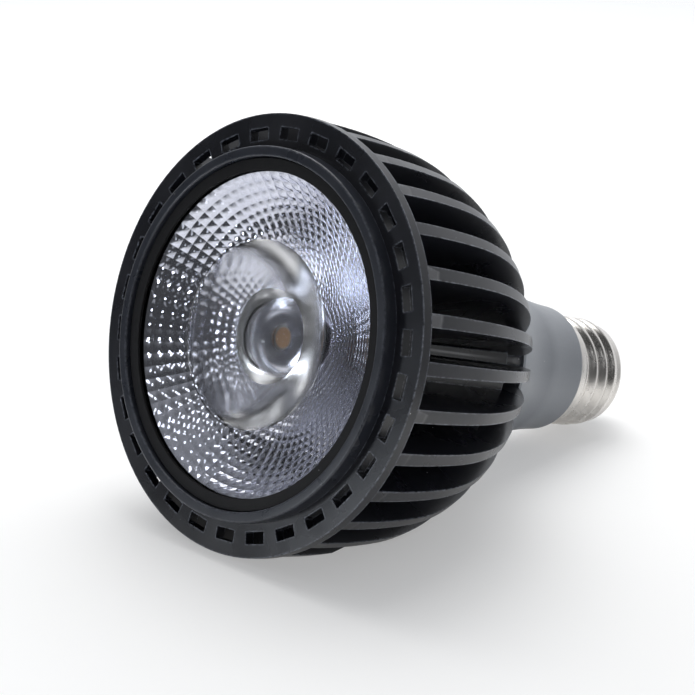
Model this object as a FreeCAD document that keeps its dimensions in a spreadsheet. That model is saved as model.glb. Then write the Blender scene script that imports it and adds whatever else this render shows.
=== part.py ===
"""Reflector grow lamp with a finned cast heat sink and a screw base.

The lamp stands on its front bezel: the bezel's front face is at z = 0, the lamp's
axis is +Z and the centre contact of the screw base is at the top.  A vent window
of the front flange is centred on +X.  All sizes are in millimetres.
"""

import FreeCAD, Part
import math
import os
import Sketcher

DOCUMENT = FreeCAD.newDocument("grow_lamp")
SHEET = DOCUMENT.addObject("Spreadsheet::Sheet", "Sizes")

DRIVING_SIZES = {
    # front bezel and cover
    "bezel_height": 3.5,
    "bezel_inner_radius": 37.8,
    "bezel_width": 2.35,
    "bezel_edge_round": 0.35,
    "bezel_skirt_depth": 3.6,
    "bezel_skirt_wall": 1.4,
    "gasket_recess": 1.1,
    "gasket_thickness": 0.8,
    "gasket_width": 2.6,
    "cover_thickness": 1.6,
    "cover_lens_radius": 20.4,
    "lens_wall_depth": 7.8,
    "lens_wall_bulge": 25.8,
    "lens_recess_radius": 10.4,
    "lens_recess_depth": 5.2,
    # heat sink casting
    "flange_rim_width": 3.05,
    "flange_thickness": 2.5,
    "window_count": 30,
    "window_setback": 1.7,
    "window_depth": 2.6,
    "window_width": 5.35,
    "fin_front_setback": 0.3,
    "fin_shoulder_setback": 2.1,
    "fin_shoulder_height": 22.5,
    "fin_tail_reach": 3.4,
    "fin_tail_setback": 0.5,
    "fin_side_bulge": 150.0,
    "fin_tail_bulge": 58.0,
    "fin_thickness": 3.0,
    "fin_draft": 0.42,
    "chamber_wall": 1.3,
    "cup_radius": 26.0,
    "cup_start_height": 19.0,
    "cup_wall": 4.5,
    "platform_depth": 17.6,
    "platform_radius": 17.0,
    "septum_thickness": 5.0,
    "rear_boss_radius": 19.0,
    "rear_boss_height": 60.0,
    "rear_boss_length": 10.5,
    "rear_wall": 3.0,
    "driver_bore_radius": 12.5,
    "boss_rib_radius": 2.6,
    # reflector
    "reflector_rim_setback": 2.9,
    "reflector_lip": 0.8,
    "reflector_step_radius": 20.4,
    "reflector_throat_radius": 10.4,
    "reflector_exit_radius": 4.0,
    "reflector_exit_gap": 1.9,
    "reflector_cone_height": 1.251,
    "reflector_wall": 1.1,
    "reflector_outer_rows": 8,
    "reflector_inner_rows": 7,
    "reflector_facets": 76,
    # light source
    "pad_thickness": 0.3,
    "board_thickness": 1.0,
    "board_side": 19.0,
    "emitter_radius": 3.4,
    "emitter_thickness": 0.4,
    "holder_radius": 16.4,
    "holder_height": 3.0,
    "holder_window_radius": 9.9,
    "holder_notch": 4.0,
    "screw_radius": 1.3,
    "screw_head_radius": 2.5,
    "screw_head_height": 1.6,
    "screw_length": 6.0,
    "holder_screw_circle": 12.9,
    # neck
    "neck_flange_overhang": 3.0,
    "neck_flange_thickness": 2.6,
    "neck_waist_rise": 1.4,
    "neck_waist_height": 18.5,
    "neck_end_lip": 1.7,
    "neck_length": 31.0,
    "neck_flare_bulge": 34.0,
    "neck_taper_bulge": 90.0,
    "neck_end_round": 1.2,
    "neck_wall": 2.0,
    "neck_pocket_height": 4.4,
    "neck_screw_circle": 15.6,
    "neck_screw_count": 3,
    "spigot_wall": 1.8,
    "spigot_length": 16.5,
    # screw base
    "shell_crest_radius": 13.1,
    "thread_depth": 0.9,
    "thread_pitch": 3.629,
    "shell_band": 3.4,
    "shell_length": 18.2,
    "shell_clearance": 0.1,
    "insulator_height": 5.2,
    "insulator_tip_radius": 5.6,
    "contact_setback": 0.8,
    "contact_height": 2.2,
    "contact_rim": 0.8,
    "shell_wall": 0.5,
    "shell_lip_width": 2.6,
    # driver
    "sleeve_wall": 0.5,
    "sleeve_setback": 1.8,
    "driver_end_gap": 1.3,
    "driver_board_thickness": 1.6,
    "driver_board_gap": 0.4,
    "capacitor_radius": 5.0,
    "capacitor_length": 20.0,
    "core_side": 13.0,
    "core_height": 6.6,
    "core_length": 12.0,
    "winding_radius": 3.1,
    "winding_length": 9.0,
    "post_radius": 1.8,
    "film_width": 10.0,
    "film_height": 8.0,
    "film_length": 5.0,
    "rectifier_side": 6.4,
    "rectifier_height": 2.4,
    "chip_width": 3.9,
    "chip_length": 4.9,
    "chip_height": 1.5,
    "fuse_radius": 1.7,
    "fuse_length": 8.0,
    "lead_radius": 0.6,
    "lead_bend": 2.0,
    # clearances
    "seat_gap": 0.1,
    "slip_gap": 0.2,
    "wire_gap": 0.3,
}


class Size:
    """A named length of the sheet, or a value worked out from such lengths."""

    def __init__(self, text, value):
        self.text = text
        self.value = value

    @staticmethod
    def of(other):
        """Take a plain number as a Size."""
        return other if isinstance(other, Size) else Size(repr(float(other)), float(other))

    def __add__(self, other):
        other = Size.of(other)
        return Size(f"({self.text} + {other.text})", self.value + other.value)

    def __sub__(self, other):
        other = Size.of(other)
        return Size(f"({self.text} - {other.text})", self.value - other.value)

    def __mul__(self, other):
        other = Size.of(other)
        return Size(f"({self.text} * {other.text})", self.value * other.value)

    def __truediv__(self, other):
        other = Size.of(other)
        return Size(f"({self.text} / {other.text})", self.value / other.value)

    def __neg__(self):
        return Size(f"(-1 * {self.text})", -self.value)


def fill_sheet():
    """Write each driving size into the sheet under its own name."""
    for row, (name, value) in enumerate(DRIVING_SIZES.items(), start=1):
        SHEET.set(f"A{row}", name)
        SHEET.set(f"B{row}", str(value))
        SHEET.setAlias(f"B{row}", name)
    DOCUMENT.recompute()


def size(name):
    """The Size that the sheet holds under a name."""
    return Size(f"Sizes.{name}", float(SHEET.get(name)))


def bind(item, prop, value):
    """Drive one property of a document object by a Size."""
    value = Size.of(value)
    item.setExpression(prop, value.text)


def origin_item(body, role):
    """The origin plane or axis of a body that has the given role."""
    for feature in body.Origin.OriginFeatures:
        if feature.Role == role:
            return feature
    raise ValueError(role)


class Outline:
    """A closed sketch outline whose corners and arc radii follow the sheet."""

    def __init__(self, body, name, plane):
        self.sketch = body.newObject("Sketcher::SketchObject", name)
        self.sketch.AttachmentSupport = [(origin_item(body, plane), "")]
        self.sketch.MapMode = "FlatFace"
        self.corners = []
        self.bends = {}

    def corner(self, across, along):
        """Add a corner, joined to the last one by a straight line."""
        self.corners.append((Size.of(across), Size.of(along)))
        return self

    def arc_to(self, across, along, radius, left=True):
        """Add a corner, joined to the last one by an arc that bends to one side."""
        self.bends[len(self.corners)] = (Size.of(radius), left)
        return self.corner(across, along)

    def point(self, index):
        """The corner with this index as a vector in the sketch plane."""
        across, along = self.corners[index % len(self.corners)]
        return FreeCAD.Vector(across.value, along.value, 0)

    def fix(self, kind, geometry, value):
        """Hold a start point at a Size from the sketch origin along one axis."""
        if value.text == "0.0":
            axis = -2 if kind == "DistanceX" else -1
            self.sketch.addConstraint(Sketcher.Constraint("PointOnObject", geometry[0], geometry[1], axis))
            return
        index = self.sketch.addConstraint(
            Sketcher.Constraint(kind, -1, 1, geometry[0], geometry[1], value.value)
        )
        self.sketch.setExpression(f"Constraints[{index}]", value.text)

    def close(self):
        """Draw the outline, join its pieces and bind its corners."""
        count = len(self.corners)
        ends = []
        for index in range(count):
            start = self.point(index)
            end = self.point(index + 1)
            bend = self.bends.get((index + 1) % count)
            if bend is None:
                self.sketch.addGeometry(Part.LineSegment(start, end), False)
                ends.append((1, 2))
                continue
            radius, left = bend
            ends.append(self.draw_arc(index, start, end, radius, left))
        for index in range(count):
            following = (index + 1) % count
            self.sketch.addConstraint(
                Sketcher.Constraint("Coincident", index, ends[index][1], following, ends[following][0])
            )
        for index, (across, along) in enumerate(self.corners):
            self.fix("DistanceX", (index, ends[index][0]), across)
            self.fix("DistanceY", (index, ends[index][0]), along)
        for index in range(count):
            bend = self.bends.get((index + 1) % count)
            if bend is not None:
                number = self.sketch.addConstraint(Sketcher.Constraint("Radius", index, bend[0].value))
                self.sketch.setExpression(f"Constraints[{number}]", bend[0].text)
        return self.sketch

    def draw_arc(self, index, start, end, radius, left):
        """Draw one arc; return which of its ends are its start and its end."""
        chord = end - start
        half = chord.Length / 2.0
        rise = math.sqrt(max(radius.value ** 2 - half ** 2, 0.0))
        normal = FreeCAD.Vector(-chord.y, chord.x, 0) / chord.Length
        side = 1.0 if left else -1.0
        centre = (start + end) * 0.5 + normal * rise * side
        first = math.atan2(start.y - centre.y, start.x - centre.x)
        last = math.atan2(end.y - centre.y, end.x - centre.x)
        circle = Part.Circle(centre, FreeCAD.Vector(0, 0, 1), radius.value)
        if left:
            if last < first:
                last += 2.0 * math.pi
            self.sketch.addGeometry(Part.ArcOfCircle(circle, first, last), False)
            return (1, 2)
        if first < last:
            first += 2.0 * math.pi
        self.sketch.addGeometry(Part.ArcOfCircle(circle, last, first), False)
        return (2, 1)


def new_body(label):
    """A part design body whose label is the node's name."""
    body = DOCUMENT.addObject("PartDesign::Body", label)
    body.Label = label
    return body


def revolve(body, name, sketch):
    """Turn a sketch of the upright plane once round the lamp's axis."""
    feature = body.newObject("PartDesign::Revolution", name)
    feature.Profile = sketch
    feature.ReferenceAxis = (origin_item(body, "Z_Axis"), [""])
    feature.Angle = 360.0
    body.Tip = feature
    return feature


def groove(body, name, sketch):
    """Cut away what a sketch of the upright plane sweeps round the lamp's axis."""
    feature = body.newObject("PartDesign::Groove", name)
    feature.Profile = sketch
    feature.ReferenceAxis = (origin_item(body, "Z_Axis"), [""])
    feature.Angle = 360.0
    body.Tip = feature
    return feature


def extrude(body, kind, name, sketch, height, start):
    """Pad or pocket a flat sketch from a height above the origin plane, upwards."""
    bind(sketch, "AttachmentOffset.Base.z", start)
    feature = body.newObject(f"PartDesign::{kind}", name)
    feature.Profile = sketch
    feature.Type = 0
    bind(feature, "Length", height)
    feature.Reversed = kind == "Pocket"
    body.Tip = feature
    return feature


def repeat_round(body, name, feature, count):
    """Repeat a feature at even angles round the lamp's axis."""
    pattern = body.newObject("PartDesign::PolarPattern", name)
    pattern.Originals = [feature]
    pattern.Axis = (origin_item(body, "Z_Axis"), [""])
    pattern.Angle = 360.0
    bind(pattern, "Occurrences", count)
    body.Tip = pattern
    return pattern


def disc_sketch(body, name, radius, centre_x=None):
    """A circle on the flat plane, centred on the axis or at a distance along X."""
    sketch = body.newObject("Sketcher::SketchObject", name)
    sketch.AttachmentSupport = [(origin_item(body, "XY_Plane"), "")]
    sketch.MapMode = "FlatFace"
    place = 0.0 if centre_x is None else centre_x.value
    circle = Part.Circle(FreeCAD.Vector(place, 0, 0), FreeCAD.Vector(0, 0, 1), radius.value)
    sketch.addGeometry(circle, False)
    if centre_x is None:
        sketch.addConstraint(Sketcher.Constraint("Coincident", 0, 3, -1, 1))
    else:
        sketch.addConstraint(Sketcher.Constraint("PointOnObject", 0, 3, -1))
        index = sketch.addConstraint(Sketcher.Constraint("DistanceX", -1, 1, 0, 3, place))
        sketch.setExpression(f"Constraints[{index}]", centre_x.text)
    index = sketch.addConstraint(Sketcher.Constraint("Radius", 0, radius.value))
    sketch.setExpression(f"Constraints[{index}]", radius.text)
    return sketch


# Levels along the axis

fill_sheet()

FLANGE_FACE = size("bezel_height")
FLANGE_BACK = FLANGE_FACE + size("flange_thickness")
LEDGE = FLANGE_FACE + size("reflector_lip")
COVER_FRONT = FLANGE_FACE - size("cover_thickness")
SKIRT_END = FLANGE_FACE + size("bezel_skirt_depth")
GROOVE_END = SKIRT_END + size("seat_gap")
PLATFORM = FLANGE_FACE + size("platform_depth")
BOARD_BACK = PLATFORM - size("pad_thickness")
BOARD_FACE = BOARD_BACK - size("board_thickness")
HOLDER_FACE = PLATFORM - size("holder_height")
HEAD_SEAT = HOLDER_FACE + size("screw_head_height")
EXIT_LEVEL = BOARD_FACE - size("reflector_exit_gap")
THROAT_LEVEL = EXIT_LEVEL - size("reflector_cone_height")
SEPTUM_BACK = PLATFORM + size("septum_thickness")
BOSS_END = FLANGE_BACK + size("rear_boss_height")
CUP_END = BOSS_END - size("rear_boss_length")
FIN_SHOULDER = FLANGE_BACK + size("fin_shoulder_height")
FIN_TAIL = BOSS_END - size("fin_tail_setback")
NECK_END = BOSS_END + size("neck_length")
SPIGOT_END = NECK_END + size("spigot_length")
SHELL_START = NECK_END
SHELL_END = SHELL_START + size("shell_length")
INSULATOR_END = SHELL_END + size("insulator_height")
CONTACT_END = INSULATOR_END + size("contact_height")
SLEEVE_START = SEPTUM_BACK + size("seat_gap")
SLEEVE_END = BOSS_END - size("sleeve_setback")
DRIVER_START = SLEEVE_START + size("sleeve_wall") * 3.0
DRIVER_END = NECK_END - size("neck_wall") * 2.0 - size("driver_end_gap")

# Radii, from the cover outwards and from the screw base outwards

BEZEL_INNER = size("bezel_inner_radius")
BEZEL_OUTER = BEZEL_INNER + size("bezel_width")
COVER_RADIUS = BEZEL_INNER - size("slip_gap")
GASKET_INNER = COVER_RADIUS - size("gasket_width")
RIM_RADIUS = BEZEL_INNER - size("reflector_rim_setback")
CHAMBER_RADIUS = RIM_RADIUS + size("reflector_wall") + size("slip_gap")
SKIRT_OUTER = BEZEL_INNER + size("bezel_skirt_wall")
GROOVE_INNER = BEZEL_INNER - size("seat_gap")
GROOVE_OUTER = SKIRT_OUTER + size("seat_gap")
CORE_FRONT_RADIUS = GROOVE_OUTER + size("chamber_wall")
WINDOW_INNER = BEZEL_OUTER + size("window_setback")
WINDOW_OUTER = WINDOW_INNER + size("window_depth")
FLANGE_RADIUS = WINDOW_OUTER + size("flange_rim_width")
FIN_FRONT_RADIUS = FLANGE_RADIUS - size("fin_front_setback")
FIN_SHOULDER_RADIUS = FLANGE_RADIUS - size("fin_shoulder_setback")
FIN_TAIL_RADIUS = size("rear_boss_radius") + size("fin_tail_reach")
SHELL_ROOT = size("shell_crest_radius") - size("thread_depth")
SHELL_BORE = SHELL_ROOT - size("shell_wall")
SHELL_LIP = SHELL_ROOT - size("shell_lip_width")
SPIGOT_RADIUS = SHELL_BORE - size("shell_clearance")
SPIGOT_BORE = SPIGOT_RADIUS - size("spigot_wall")
NECK_END_RADIUS = size("shell_crest_radius") + size("neck_end_lip")
NECK_WAIST_RADIUS = NECK_END_RADIUS + size("neck_waist_rise")
NECK_FLANGE_RADIUS = size("rear_boss_radius") + size("neck_flange_overhang")
NECK_POCKET_RADIUS = size("neck_screw_circle") + size("screw_head_radius") + size("slip_gap")
CONTACT_RADIUS = size("insulator_tip_radius") - size("contact_setback")
SLEEVE_RADIUS = size("driver_bore_radius") - size("slip_gap")
SLEEVE_BORE = SLEEVE_RADIUS - size("sleeve_wall")

# Widths and offsets inside

HALF_BOARD = size("driver_board_thickness") / 2.0
DRIVER_LENGTH = DRIVER_END - DRIVER_START
DRIVER_BOARD_WIDTH = (SLEEVE_BORE - size("driver_board_gap")) * 2.0
SCREW_HOLE = size("screw_radius") + size("seat_gap") / 2.0
LEAD_HOLE = size("lead_radius") + size("wire_gap")
LED_LEAD_OFFSET = size("board_side") / 2.0 + size("lead_radius") + size("wire_gap") * 3.0
HOLDER_SEAT_SIDE = size("board_side") + size("slip_gap") * 2.0
HOLDER_BRIDGE = HOLDER_SEAT_SIDE - size("holder_notch")
NEUTRAL_HOLE = SPIGOT_END - size("lead_bend") * 2.0
NEUTRAL_OFFSET = HALF_BOARD + size("lead_radius")
WINDOW_PITCH = Size.of(360.0) / size("window_count")


# Heat sink: one casting with a vented front flange and radial fins


def bar_sketch(body, name, inner, outer, width):
    """A bar on the flat plane that lies along X from one radius to another."""
    bar = Outline(body, name, "XY_Plane")
    bar.corner(inner, width / -2.0)
    bar.corner(outer, width / -2.0)
    bar.corner(outer, width / 2.0)
    bar.corner(inner, width / 2.0)
    return bar.close()


def casting_core(body):
    """The turned form of the casting, before its hollows are cut."""
    core = Outline(body, "CoreOutline", "XZ_Plane")
    core.corner(0.0, FLANGE_FACE)
    core.corner(FLANGE_RADIUS, FLANGE_FACE)
    core.corner(FLANGE_RADIUS, FLANGE_BACK)
    core.corner(CORE_FRONT_RADIUS, FLANGE_BACK)
    core.corner(CORE_FRONT_RADIUS, SKIRT_END + size("chamber_wall"))
    core.corner(size("cup_radius"), FLANGE_BACK + size("cup_start_height"))
    core.corner(size("cup_radius"), CUP_END)
    core.corner(size("rear_boss_radius"), CUP_END)
    core.corner(size("rear_boss_radius"), BOSS_END)
    core.corner(0.0, BOSS_END)
    return revolve(body, "Core", core.close())


def casting_fins(body):
    """Radial fins with cast draft, one between each two windows."""
    overlap = size("flange_thickness") / 4.0
    root = size("rear_boss_radius") - size("chamber_wall")
    bar = bar_sketch(body, "FinOutline", root, FIN_FRONT_RADIUS + overlap / 4.0, size("fin_thickness"))
    bind(bar, "AttachmentOffset.Rotation.Angle", WINDOW_PITCH / 2.0)
    fin = extrude(body, "Pad", "Fin", bar, FIN_TAIL - FLANGE_BACK + overlap, FLANGE_BACK - overlap)
    bind(fin, "TaperAngle", -size("fin_draft"))
    return repeat_round(body, "Fins", fin, size("window_count"))


def trim_fins(body):
    """Turn the rounded outer profile of the fins."""
    clear = FLANGE_RADIUS + size("fin_thickness")
    above = FIN_TAIL + size("fin_thickness")
    trim = Outline(body, "FinProfile", "XZ_Plane")
    trim.corner(FIN_FRONT_RADIUS, FLANGE_BACK)
    trim.corner(clear, FLANGE_BACK)
    trim.corner(clear, above)
    trim.corner(FIN_TAIL_RADIUS, above)
    trim.corner(FIN_TAIL_RADIUS, FIN_TAIL)
    trim.arc_to(FIN_SHOULDER_RADIUS, FIN_SHOULDER, size("fin_tail_bulge"), left=False)
    trim.bends[0] = (size("fin_side_bulge"), False)
    return groove(body, "FinTurning", trim.close())


def casting_windows(body):
    """Rectangular vent windows through the flange."""
    bar = bar_sketch(body, "WindowOutline", WINDOW_INNER, WINDOW_OUTER, size("window_width"))
    window = extrude(body, "Pocket", "Window", bar, size("flange_thickness"), FLANGE_FACE)
    return repeat_round(body, "Windows", window, size("window_count"))


def casting_bosses(body):
    """Screw bosses that bulge from the rear boss, in line with windows."""
    circle = disc_sketch(body, "BossOutline", size("boss_rib_radius"), size("rear_boss_radius"))
    boss = extrude(body, "Pad", "Boss", circle, BOSS_END - CUP_END, CUP_END)
    return repeat_round(body, "Bosses", boss, size("neck_screw_count"))


def front_hollow(body):
    """The chamber of the reflector, its ledge and the groove of the bezel."""
    hollow = Outline(body, "ChamberOutline", "XZ_Plane")
    hollow.corner(0.0, FLANGE_FACE)
    hollow.corner(GROOVE_OUTER, FLANGE_FACE)
    hollow.corner(GROOVE_OUTER, GROOVE_END)
    hollow.corner(GROOVE_INNER, GROOVE_END)
    hollow.corner(GROOVE_INNER, LEDGE)
    hollow.corner(CHAMBER_RADIUS, LEDGE)
    hollow.corner(CHAMBER_RADIUS, LEDGE + size("bezel_skirt_depth"))
    hollow.corner(size("platform_radius"), PLATFORM - size("holder_height"))
    hollow.corner(size("platform_radius"), PLATFORM)
    hollow.corner(0.0, PLATFORM)
    return groove(body, "Chamber", hollow.close())


def rear_hollow(body):
    """The cavity of the driver and its bore through the rear boss."""
    cavity = size("cup_radius") - size("cup_wall")
    hollow = Outline(body, "CavityOutline", "XZ_Plane")
    hollow.corner(0.0, SEPTUM_BACK)
    hollow.corner(cavity, SEPTUM_BACK)
    hollow.corner(cavity, CUP_END - size("rear_wall"))
    hollow.corner(size("driver_bore_radius"), CUP_END - size("rear_wall"))
    hollow.corner(size("driver_bore_radius"), BOSS_END)
    hollow.corner(0.0, BOSS_END)
    return groove(body, "Cavity", hollow.close())


def round_holes(body, name, radius, circle, depth, start, count, turn=0.0):
    """Blind or through holes on a circle, cut upwards from a height."""
    sketch = disc_sketch(body, f"{name}Outline", radius, circle)
    bind(sketch, "AttachmentOffset.Rotation.Angle", Size.of(turn))
    hole = extrude(body, "Pocket", name, sketch, depth, start)
    return repeat_round(body, f"{name}s", hole, Size.of(count))


def make_heat_sink():
    """Finned casting that carries the light source, the reflector and the neck."""
    body = new_body("heat_sink")
    casting_core(body)
    casting_fins(body)
    trim_fins(body)
    casting_windows(body)
    casting_bosses(body)
    front_hollow(body)
    rear_hollow(body)
    reach = HEAD_SEAT + size("screw_length") + size("seat_gap") - PLATFORM
    round_holes(body, "HolderHole", SCREW_HOLE, size("holder_screw_circle"), reach, PLATFORM, 2)
    round_holes(body, "LeadHole", LEAD_HOLE, LED_LEAD_OFFSET, size("septum_thickness"), PLATFORM, 2, 90.0)
    depth = size("screw_length") - size("neck_flange_thickness") + size("seat_gap")
    neck = size("neck_screw_count")
    round_holes(body, "NeckHole", SCREW_HOLE, size("neck_screw_circle"), depth, BOSS_END - depth, neck)
    return body


# Bezel, gasket, cover and reflector


def make_front_bezel():
    """Raised collar inside the windows, with a skirt down into the casting."""
    body = new_body("front_bezel")
    soft = size("bezel_edge_round")
    ring = Outline(body, "BezelOutline", "XZ_Plane")
    ring.corner(BEZEL_INNER + soft, 0.0)
    ring.corner(BEZEL_OUTER - soft, 0.0)
    ring.arc_to(BEZEL_OUTER, soft, soft)
    ring.corner(BEZEL_OUTER, FLANGE_FACE)
    ring.corner(SKIRT_OUTER, FLANGE_FACE)
    ring.corner(SKIRT_OUTER, SKIRT_END)
    ring.corner(BEZEL_INNER, SKIRT_END)
    ring.corner(BEZEL_INNER, soft)
    ring.bends[0] = (soft, True)
    revolve(body, "Bezel", ring.close())
    return body


def ring_body(label, inner, outer, bottom, top):
    """A plain ring about the lamp's axis."""
    body = new_body(label)
    ring = Outline(body, f"{label}_outline", "XZ_Plane")
    ring.corner(inner, bottom)
    ring.corner(outer, bottom)
    ring.corner(outer, top)
    ring.corner(inner, top)
    revolve(body, f"{label}_ring", ring.close())
    return body


def make_cover_gasket():
    """Flat ring that lies on the edge of the clear cover."""
    return ring_body("cover_gasket", GASKET_INNER, COVER_RADIUS, size("gasket_recess"), COVER_FRONT)


def make_cover_lens():
    """Clear cover disc with a lens behind it, recessed round the light source."""
    body = new_body("cover_lens")
    radius = size("cover_lens_radius")
    mouth = size("lens_recess_radius")
    sunk = size("lens_recess_depth")
    lens_end = FLANGE_FACE + size("lens_wall_depth")
    disc = Outline(body, "CoverOutline", "XZ_Plane")
    disc.corner(0.0, COVER_FRONT)
    disc.corner(COVER_RADIUS, COVER_FRONT)
    disc.corner(COVER_RADIUS, FLANGE_FACE)
    disc.corner(radius, FLANGE_FACE)
    disc.arc_to(mouth, lens_end, size("lens_wall_bulge"))
    disc.arc_to(0.0, lens_end - sunk, (mouth * mouth + sunk * sunk) / (sunk * 2.0), left=False)
    revolve(body, "Cover", disc.close())
    return body


def bowl_height(radius):
    """Height of the reflector's parabolic bowl at a radius."""
    rim = RIM_RADIUS.value
    throat = size("reflector_throat_radius").value
    depth = THROAT_LEVEL.value - FLANGE_FACE.value
    return FLANGE_FACE.value + depth * (rim ** 2 - radius ** 2) / (rim ** 2 - throat ** 2)


# The bowl's back has one ring of corners for so many rings of the front
BACK_STEP = 3


def bowl_back(radius):
    """Point of the bowl's back, one wall away from the front at a radius."""
    step = 0.01
    slope = (bowl_height(radius - step) - bowl_height(radius + step)) / (2.0 * step)
    length = math.hypot(slope, 1.0)
    wall = size("reflector_wall").value
    return radius + wall * slope / length, bowl_height(radius) + wall / length


def reflector_rings():
    """Radius and height of each ring of corners, once round the wall's section."""
    rim = RIM_RADIUS.value
    step = size("reflector_step_radius").value
    throat = size("reflector_throat_radius").value
    outer_rows = round(size("reflector_outer_rows").value)
    inner_rows = round(size("reflector_inner_rows").value)
    wall = size("reflector_wall").value
    exit_radius = size("reflector_exit_radius").value
    front = [rim + (step - rim) * row / outer_rows for row in range(outer_rows)]
    front.extend(step + (throat - step) * row / inner_rows for row in range(inner_rows + 1))
    rings = [(radius, bowl_height(radius)) for radius in front]
    rings.append((exit_radius, EXIT_LEVEL.value))
    rings.append((exit_radius + wall, EXIT_LEVEL.value))
    rings.extend(bowl_back(radius) for radius in front[::-BACK_STEP])
    rings.append((CHAMBER_RADIUS.value - size("slip_gap").value, LEDGE.value))
    rings.append((COVER_RADIUS.value, LEDGE.value))
    rings.append((COVER_RADIUS.value, FLANGE_FACE.value))
    return rings


def make_reflector():
    """Bowl of flat mirror facets in even rows, with a lip that rests on the ledge."""
    facets = round(size("reflector_facets").value)
    corners = []
    for radius, height in reflector_rings():
        angles = [2.0 * math.pi * index / facets for index in range(facets)]
        corners.append(
            [FreeCAD.Vector(radius * math.cos(a), radius * math.sin(a), height) for a in angles]
        )
    faces = []
    for near, far in zip(corners, corners[1:] + corners[:1]):
        for index in range(facets):
            following = (index + 1) % facets
            square = [near[index], near[following], far[following], far[index], near[index]]
            faces.append(Part.Face(Part.makePolygon(square)))
    solid = Part.Solid(Part.Shell(faces))
    if solid.Volume < 0:
        solid.reverse()
    feature = DOCUMENT.addObject("Part::Feature", "reflector")
    feature.Label = "reflector"
    feature.Shape = solid
    return feature


# Light source


def cylinder(name, radius, height, base, x=0.0, y=0.0):
    """An upright cylinder that stands at a height."""
    item = DOCUMENT.addObject("Part::Cylinder", name)
    bind(item, "Radius", radius)
    bind(item, "Height", height)
    bind(item, "Placement.Base.x", x)
    bind(item, "Placement.Base.y", y)
    bind(item, "Placement.Base.z", base)
    return item


def block(name, along_x, along_y, along_z, centre_x, start_y, start_z):
    """A block centred across X, from a given Y and Z."""
    item = DOCUMENT.addObject("Part::Box", name)
    bind(item, "Length", along_x)
    bind(item, "Width", along_y)
    bind(item, "Height", along_z)
    bind(item, "Placement.Base.x", Size.of(centre_x) - along_x / 2.0)
    bind(item, "Placement.Base.y", start_y)
    bind(item, "Placement.Base.z", start_z)
    return item


def cut(name, base, tool):
    """One item less another."""
    item = DOCUMENT.addObject("Part::Cut", name)
    item.Base = base
    item.Tool = tool
    return item


def fuse(name, *items):
    """Several items joined into one."""
    item = DOCUMENT.addObject("Part::MultiFuse", name)
    item.Shapes = list(items)
    return item


def make_thermal_pad():
    """Soft pad between the light source's board and the platform."""
    side = size("board_side")
    return block("thermal_pad", side, side, size("pad_thickness"), 0.0, side / -2.0, BOARD_BACK)


def make_cob_board():
    """Square board that carries the emitter."""
    side = size("board_side")
    return block("cob_board", side, side, size("board_thickness"), 0.0, side / -2.0, BOARD_FACE)


def make_cob_emitter():
    """Round phosphor field on the board's front."""
    thick = size("emitter_thickness")
    return cylinder("cob_emitter", size("emitter_radius"), thick, BOARD_FACE - thick)


def make_cob_holder():
    """Moulded frame that clamps the board to the platform with two screws."""
    height = size("holder_height")
    side = HOLDER_SEAT_SIDE
    notch = size("holder_notch")
    wide = (LED_LEAD_OFFSET + LEAD_HOLE) * 2.0
    plate = cylinder("HolderPlate", size("holder_radius"), height, HOLDER_FACE)
    seat = block("HolderSeat", side, side, height, 0.0, side / -2.0, BOARD_FACE)
    mouth = cylinder("HolderMouth", size("holder_window_radius"), height, HOLDER_FACE)
    slot = block("HolderSlot", notch, wide, height, 0.0, wide / -2.0, HOLDER_FACE)
    bridge = block("HolderBridge", notch, HOLDER_BRIDGE, height, 0.0, HOLDER_BRIDGE / -2.0, HOLDER_FACE)
    notches = cut("HolderNotches", slot, bridge)
    reach = size("holder_screw_circle")
    left = cylinder("HolderLeftHole", SCREW_HOLE, height, HOLDER_FACE, -reach)
    right = cylinder("HolderRightHole", SCREW_HOLE, height, HOLDER_FACE, reach)
    sunk = size("screw_head_radius") + size("slip_gap")
    deep = size("screw_head_height")
    left_sink = cylinder("HolderLeftSink", sunk, deep, HOLDER_FACE, -reach)
    right_sink = cylinder("HolderRightSink", sunk, deep, HOLDER_FACE, reach)
    cuts = fuse("HolderCuts", seat, mouth, notches, left, right, left_sink, right_sink)
    return cut("cob_holder", plate, cuts)


def make_screw(label, angle, circle, seat, backwards):
    """Pan-head screw on a circle; its shank runs up, or down when backwards."""
    body = new_body(label)
    head = size("screw_head_radius")
    tall = size("screw_head_height")
    shank = size("screw_radius")
    length = size("screw_length")
    start = length if backwards else tall
    form = Outline(body, f"{label}_outline", "XZ_Plane")
    if backwards:
        form.corner(0.0, 0.0)
        form.corner(shank, 0.0)
        form.corner(shank, length)
        form.corner(head, length)
        form.arc_to(0.0, length + tall, (head * head + tall * tall) / (tall * 2.0))
    else:
        form.corner(0.0, 0.0)
        form.arc_to(head, tall, (head * head + tall * tall) / (tall * 2.0))
        form.corner(shank, tall)
        form.corner(shank, tall + length)
        form.corner(0.0, tall + length)
    revolve(body, f"{label}_form", form.close())
    bind(body, "Placement.Base.x", circle * math.cos(math.radians(angle)))
    bind(body, "Placement.Base.y", circle * math.sin(math.radians(angle)))
    bind(body, "Placement.Base.z", seat - start)
    return body


def make_cob_screws():
    """Two screws that hold the board's frame to the platform."""
    reach = size("holder_screw_circle")
    return [
        make_screw("cob_screw_a", 0.0, reach, HEAD_SEAT, False),
        make_screw("cob_screw_b", 180.0, reach, HEAD_SEAT, False),
    ]


# Neck and screw base


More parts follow.
